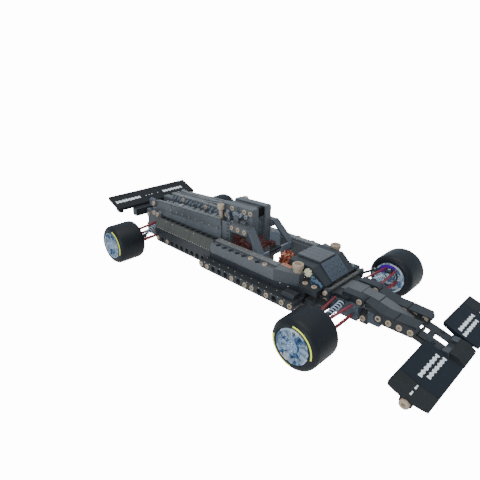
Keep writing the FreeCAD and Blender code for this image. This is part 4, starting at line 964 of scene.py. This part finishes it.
# Steering cluster: toothed discs, studs and knobs that turn with the column
steerSet = {"height": 29.6, "discs": ((-73.2, 9.3, 2.2, 22), (-70.4, 8.2, 2.2, 18), (-67.6, 6.6, 3.0, 14)),
            "bore": 2.7, "tooth": (0.8, 0.8, 0.15), "toothOut": 0.3,
            "knobs": ((-71.0, 8.4, 11, 1.25), (-68.2, 7.2, 9, 1.4), (-64.8, 4.8, 6, 1.3)),
            "knobLong": (1.1, 1.6), "knobBore": 0.55, "knobEnd": (0.6, 0.15, 8),
            "backKnob": (1.2, 1.6, 0.7, 0.6, 0.15, 8), "backShare": 0.9, "backBehind": 1.8,
            "arms": (90, 210, 330), "arm": (2.0, 1.3, 0.3), "armAt": -65.0, "armFrom": 3.2, "armTo": 9.2}
plateSet = {"box": ((-56.8, -46.4), (-26.2, -22.2), (40.1, 41.0), 0.3),
            "studs": ((-54.0, -24.2, 40.9), (-50.0, -24.2, 40.9)), "stud": (1.2, 0.6, 0.7, 0.4, 0.15, 10)}


def onColumn(ahead, reach, turn):    # place on a circle round the steering column, turn in radians
    return spot(ahead, reach * math.cos(turn), steerSet["height"] + reach * math.sin(turn))


discs, knobs, light, plate = newForms(4)
for ahead, radius, thick, teeth in steerSet["discs"]:
    addRing(discs, spot(ahead, 0, steerSet["height"]), forward, steerSet["bore"], radius, thick, steps=28)
    for index in range(teeth):
        lean, reach = 2 * math.pi * index / teeth, radius + steerSet["toothOut"]
        start, end = onColumn(ahead, reach, lean), onColumn(ahead + thick, reach, lean)
        addStrip(discs, start, end, *steerSet["tooth"])
for ring, (ahead, reach, count, radius) in enumerate(steerSet["knobs"]):
    for index in range(count):
        lean = 2 * math.pi * (index + 0.5) / count
        addCup(knobs if (index + ring) % 3 else light, onColumn(ahead, reach, lean), forward, radius,
               steerSet["knobLong"][index % 2], steerSet["knobBore"] * radius, *steerSet["knobEnd"])
        if ring == 0:
            back = onColumn(ahead - steerSet["backBehind"], steerSet["backShare"] * reach, lean)
            addCup(knobs, back, -forward, *steerSet["backKnob"])
for lean in map(math.radians, steerSet["arms"]):
    addStrip(light, onColumn(steerSet["armAt"], steerSet["armFrom"], lean),
             onColumn(steerSet["armAt"], steerSet["armTo"], lean), *steerSet["arm"])
keepPiece(discs, "steering_discs", rust, "steering_wheel", "steering")
keepPiece(knobs, "steering_knobs", rust, body="steering")
keepPiece(light, "steering_studs", salmon, body="steering")
addBox(plate, *plateSet["box"])
addCups(plate, plateSet["studs"], up, plateSet["stud"], (1,))
keepPiece(plate, "salmon_plate", salmon)
print("seat and steering built")

# Windscreen and cowl: smooth slats with narrow gaps and small pin holes
screenSet = {"top": (-28.2, 45.9), "foot": (-16.5, 34.2), "slats": 4, "wide": 24.0, "gap": 0.35,
             "thick": 1.1, "soft": 0.12, "holes": (0.22, 0.5, 0.78), "hole": (0.55, 0.12, 0.4, 0.1, 0.03, 8)}
cowlSet = {"top": (-51.6, 46.6), "foot": (-29.4, 46.6), "slats": 4, "wide": 22.0, "gap": 0.18,
           "thick": 1.5, "soft": 0.12}


def laySlats(form, want):        # slats side by side across the car; gives the ends of each
    each = want["wide"] / want["slats"]
    for index in range(want["slats"]):
        side = -want["wide"] / 2 + each * (index + 0.5)
        start, end = (spot(ahead, side, level) for ahead, level in (want["top"], want["foot"]))
        addStrip(form, start, end, each - want["gap"], want["thick"], want["soft"])
        yield start, end


slats, holes, cowl = newForms(3)
for start, end in laySlats(slats, screenSet):
    facing = (end - start).cross(left).normalized()
    for share in screenSet["holes"]:
        place = start.lerp(end, share) + facing * screenSet["thick"] / 2 * mm
        addCup(holes, place, facing, *screenSet["hole"])
keepPiece(slats, "windscreen_slats", screenGrey, "windscreen_panel")
keepPiece(holes, "windscreen_holes", black)
list(laySlats(cowl, cowlSet))
keepPiece(cowl, "cowl_slats", grey, "cowl_panel")

# Nose arms: thin sloping plates with a side flange and end blocks; first block of the lower beams
armSet = {"slope": ((38.4, 24.6), (75.4, 14.3)), "bars": ((7.0, 8.0, 1.5), (10.1, 1.8, 5.4)), "barSoft": 0.2,
          "cross": ((38.4, 47.6, 3.2), (52.0, 53.4, 3.2), (56.6, 60.4, 3.2), (69.6, 75.4, 5.2)),
          "crossHigh": (3.4, 0.2, 0.3), "studs": ((63.5, 8.6), (71.0, 5.2), (71.0, 8.8), (48.0, 8.4)),
          "stud": (1.5, 1.2, 0.8, 0.7, 0.2, 10), "studSunk": 0.3,
          "tip": ((70.2, 75.2), (5.0, 11.2), (12.0, 17.2), 0.4),
          "first": ((17.4, 27.8), (8.2, 15.8), (15.4, 24.6), 0.4)}


def armTop(ahead):           # height of the arms' sloping upper side
    (rear, rearTop), (front, frontTop) = armSet["slope"]
    return rearTop + (frontTop - rearTop) * (ahead - rear) / (front - rear)


arms, tips, firsts = newForms(3)
for way in ways:
    for side, wide, thick in armSet["bars"]:
        ends = [spot(ahead, way * side, armTop(ahead) - thick / 2) for ahead, _ in armSet["slope"]]
        addStrip(arms, *ends, wide, thick, armSet["barSoft"])
    for ahead, side in armSet["studs"]:
        place = spot(ahead, way * side, armTop(ahead) - armSet["studSunk"])
        addCup(arms, place, up, *armSet["stud"])
for back, front, wide in armSet["cross"]:
    top = armTop((back + front) / 2)
    deep, shallow, soft = armSet["crossHigh"]
    addBox(arms, (back, front), (-wide, wide), (top - deep, top - shallow), soft)
addBoxes(tips, [armSet["tip"]])
addBoxes(firsts, [armSet["first"]])
keepPiece(arms, "nose_arm_plates", black, "nose_arms")
keepPiece(tips, "nose_arm_blocks", deepGreyAndShade)
keepPiece(firsts, "nose_beam_blocks", bulkheadGrey)

# Cross bar ahead of the windscreen, on a low bearing block
barSet = {"place": (-12.6, -26.0, 32.4), "bar": (1.5, 52.0, 16), "ring": (1.3, 2.0, 1.8, 16),
          "ringSides": (-21.5, -12.0, 0.0, 12.0, 21.5),
          "block": ((-15.8, -9.6), (-19.8, 19.8), (27.1, 30.6), 0.5),
          "ends": ((-15.4, -9.8), (21.0, 25.4), (27.2, 34.2), 0.6)}
bar, block = newForms(2)
ahead, side, high = barSet["place"]
addDrum(bar, spot(ahead, side, high), left, *barSet["bar"])
for side in barSet["ringSides"]:
    addRing(bar, spot(ahead, side - barSet["ring"][2] / 2, high), left, *barSet["ring"])
keepPiece(bar, "cross_bar_round", barGrey, "cross_bar")
addBox(block, *barSet["block"])
addBoxes(block, [barSet["ends"]])
keepPiece(block, "cross_bar_block", black)

# Suspension rods with ball ends from the chassis to each upright; each row: inner end, outer end, radius
rodSet = {"ball": 0.2, "pivot": 51.0, "eyeHigh": (14.0, 26.1), "eye": (3.5, 1.9, 2.4, 0.9, 0.3, 20),
          "bracket": 0.85, "bracketAt": (6.9, 50.0, 15.0), "bracketLong": (3.0, 4.2),
          "front": (((-7.7, 20.2, 27.8), (-4.0, 52.6, 27.4), 1.05),
                    ((6.8, 20.2, 27.3), (4.8, 52.6, 27.4), 1.1),
                    ((7.2, 20.2, 18.6), (7.3, 52.2, 18.2), 1.3),
                    ((-7.6, 20.2, 19.2), (-7.2, 50.0, 17.4), 1.2)),
          "rear": (((-232.6, 25.3, 29.8), (-232.8, 52.8, 27.4), 1.35),
                   ((-239.0, 25.3, 21.2), (-237.4, 52.8, 19.2), 1.3),
                   ((-237.0, 25.3, 12.9), (-234.4, 52.8, 14.6), 1.3),
                   ((-228.0, 25.3, 17.2), (-228.0, 52.8, 15.4), 1.0))}
for axleName, axleAt in (("front", 0.0), ("rear", (rearX - frontX) / mm)):
    rods, eyes = newForms(2)
    for way in ways:
        for *places, radius in rodSet[axleName]:
            foot, tip = (spot(ahead, way * side, high) for ahead, side, high in places)
            addDrum(rods, foot, tip - foot, radius, (tip - foot).length / mm, facets=10)
            for place in (foot, tip):
                bmesh.ops.create_icosphere(rods, subdivisions=1, radius=(radius + rodSet["ball"]) * mm,
                                           matrix=Matrix.Translation(place))
        for high in rodSet["eyeHigh"]:
            addCup(eyes, spot(axleAt, way * rodSet["pivot"], high), up, *rodSet["eye"])
        reach, side, high = rodSet["bracketAt"]
        for ahead in (-reach, reach):        # lower eye hung from the lower rods
            corner = spot(axleAt + ahead, way * side, high)
            for axis, length in zip((up, (-ahead, 0, 0)), rodSet["bracketLong"]):
                addDrum(eyes, corner, axis, rodSet["bracket"], length, facets=8)
    keepPiece(rods, axleName + "_rods", red, axleName + "_wishbones")
    keepPiece(eyes, axleName + "_rod_eyes", black)
print("screen, cowl, nose arms, cross bar and suspension rods built")

# Violet insert in the dish of the front left wheel, and small brackets under the rear wing's ends
insertSet = {"sunk": 4.75, "from": 72, "arc": 108, "steps": 18,
             "section": ((6.2, 0.1), (11.9, 0.1), (11.9, -1.5), (6.2, -1.5))}
dish = middle("front_left_rim") - left * (size("front_left_rim").y / 2 - insertSet["sunk"] * mm)
insert, brackets, pins = newForms(3)
corners = [onWheel(dish, insertSet["from"], reach, out) for reach, out in insertSet["section"]]
addArc(insert, corners, dish, -left, insertSet["arc"], insertSet["steps"])
keepPiece(insert, "violet_insert", violet, body="front_left_wheel")

bracketSet = {"back": 9.0, "front": 0.5, "foot": 10.0, "top": 4.5, "soft": 0.8, "pin": (5.5, 0.8, 6.2),
              "pinLong": 1.6}
for low, high in islands("rear_wing_ends"):
    way, near, far = outward(low, high)
    addBlock(brackets, (low.x + bracketSet["back"] * mm, low.y, high.z - bracketSet["foot"] * mm),
             (high.x - bracketSet["front"] * mm, high.y, high.z - bracketSet["top"] * mm),
             bracketSet["soft"], 2)
    behind, inside, under = (value * mm for value in bracketSet["pin"])
    place = Vector((high.x - behind, far - way * inside, high.z - under))
    addCup(pins, place, left * way, *pinCup(bracketSet["pinLong"]))
keepPiece(brackets, "rear_wing_brackets", black, "rear_wing_ends")
keepPiece(pins, "rear_wing_pins", tan)
print("insert and wing brackets built")

# Pale dots in rows along the seams; each row: back, front, step, side, heights back and front
seamSet = {"radius": 0.36, "long": 0.3, "sunk": 0.15, "topSunk": 0.1, "weave": 0.9,
           "rows": ((-219.0, -133.0, 2.9, 35.95, 31.3, 31.3), (-130.0, -38.0, 8.1, 35.6, 30.2, 30.2),
                    (-138.0, -30.0, 6.7, 43.95, 22.9, 22.9), (-209.0, -136.0, 10.15, 23.0, 48.7, 48.8),
                    (-128.0, -60.0, 9.7, 24.35, 40.6, 40.6)),
           "tops": ((-135.0, -34.0, 9.4, 38.4, 23.45, 23.45), (-126.0, -60.0, 10.3, 27.4, 41.0, 41.0),
                    (-215.0, -140.0, 11.2, 32.6, 39.6, 39.6), (-216.0, -152.0, 12.7, 6.0, 60.9, 62.2))}
specks = bmesh.new()
for kind, way in ((kind, way) for way in ways for kind in ("rows", "tops")):
    for back, front, step, side, low, high in seamSet[kind]:
        for index in range(int((front - back) / step) + 1):
            ahead = back + step * index
            level = low + (high - low) * (ahead - back) / (front - back)
            if kind == "rows":
                foot, axis = spot(ahead, way * (side - seamSet["sunk"]), level), left * way
            else:
                weave = seamSet["weave"] * ((index * 7) % 3 - 1)
                foot, axis = spot(ahead, way * (side + weave), level - seamSet["topSunk"]), up
            addDrum(specks, foot, axis, seamSet["radius"], seamSet["long"], facets=6)
keepPiece(specks, "seam_dots", speck)

# Wings: plain pale bars printed on the plates; each bar: rear, front, inner and outer edge
wingSet = {
    "front_wing_panels": ((69.8, 72.4, 19.0, 47.0), (73.9, 76.5, 17.0, 43.5), (73.0, 74.2, 54.2, 58.6),
                          (73.0, 74.2, 61.0, 65.0)),
    "rear_wing_plate": ((-274.4, -270.6, -49.0, -18.0), (-274.4, -270.6, 13.0, 41.0),
                        (-272.9, -272.1, -11.0, -9.6), (-272.9, -272.1, -7.0, -5.6),
                        (-272.9, -272.1, -3.0, -1.6), (-272.9, -272.1, 5.0, 6.4)),
}
dashSet = {"step": 2.1, "gap": 0.35, "trim": (0.0, 0.16, 0.05, 0.24), "above": 0.12, "thick": 0.2}


def printDash(form, height, rear, front, inner, outer):      # thin dash that follows the plate under it
    dash = bmesh.ops.create_grid(form, x_segments=3, y_segments=2, size=0.5)["verts"]
    for vert in dash:
        ahead, side = rear + (vert.co.x + 0.5) * (front - rear), inner + (vert.co.y + 0.5) * (outer - inner)
        place = spot(ahead, side, 0)
        vert.co = (place.x, place.y, height(place.x, place.y) + dashSet["above"] * mm)
    faces = list(dict.fromkeys(face for vert in dash for face in vert.link_faces))
    made = bmesh.ops.extrude_face_region(form, geom=faces, use_keep_orig=True)["geom"]
    lower = [item for item in made if isinstance(item, bmesh.types.BMVert)]
    bmesh.ops.translate(form, verts=lower, vec=-up * dashSet["thick"] * mm)


def dashedBar(form, height, rear, front, inner, outer):      # row of short dashes, every other one narrower
    count = max(1, round((outer - inner) / dashSet["step"]))
    step = (outer - inner) / count
    for index in range(count):
        trim = (front - rear) * dashSet["trim"][index % 4]
        first = inner + step * index
        printDash(form, height, rear + trim * (index % 2), front - trim, first, first + step - dashSet["gap"])


for node, bars in wingSet.items():
    isFront = node.startswith("front")
    form = bmesh.new()
    for rear, front, inner, outer in bars:
        dashedBar(form, topSurface(node), rear, front, inner, outer)
        if isFront:
            dashedBar(form, topSurface(node), rear, front, -outer, -inner)
    keepPiece(form, node + "_bars", pale)
print("wing bars printed")
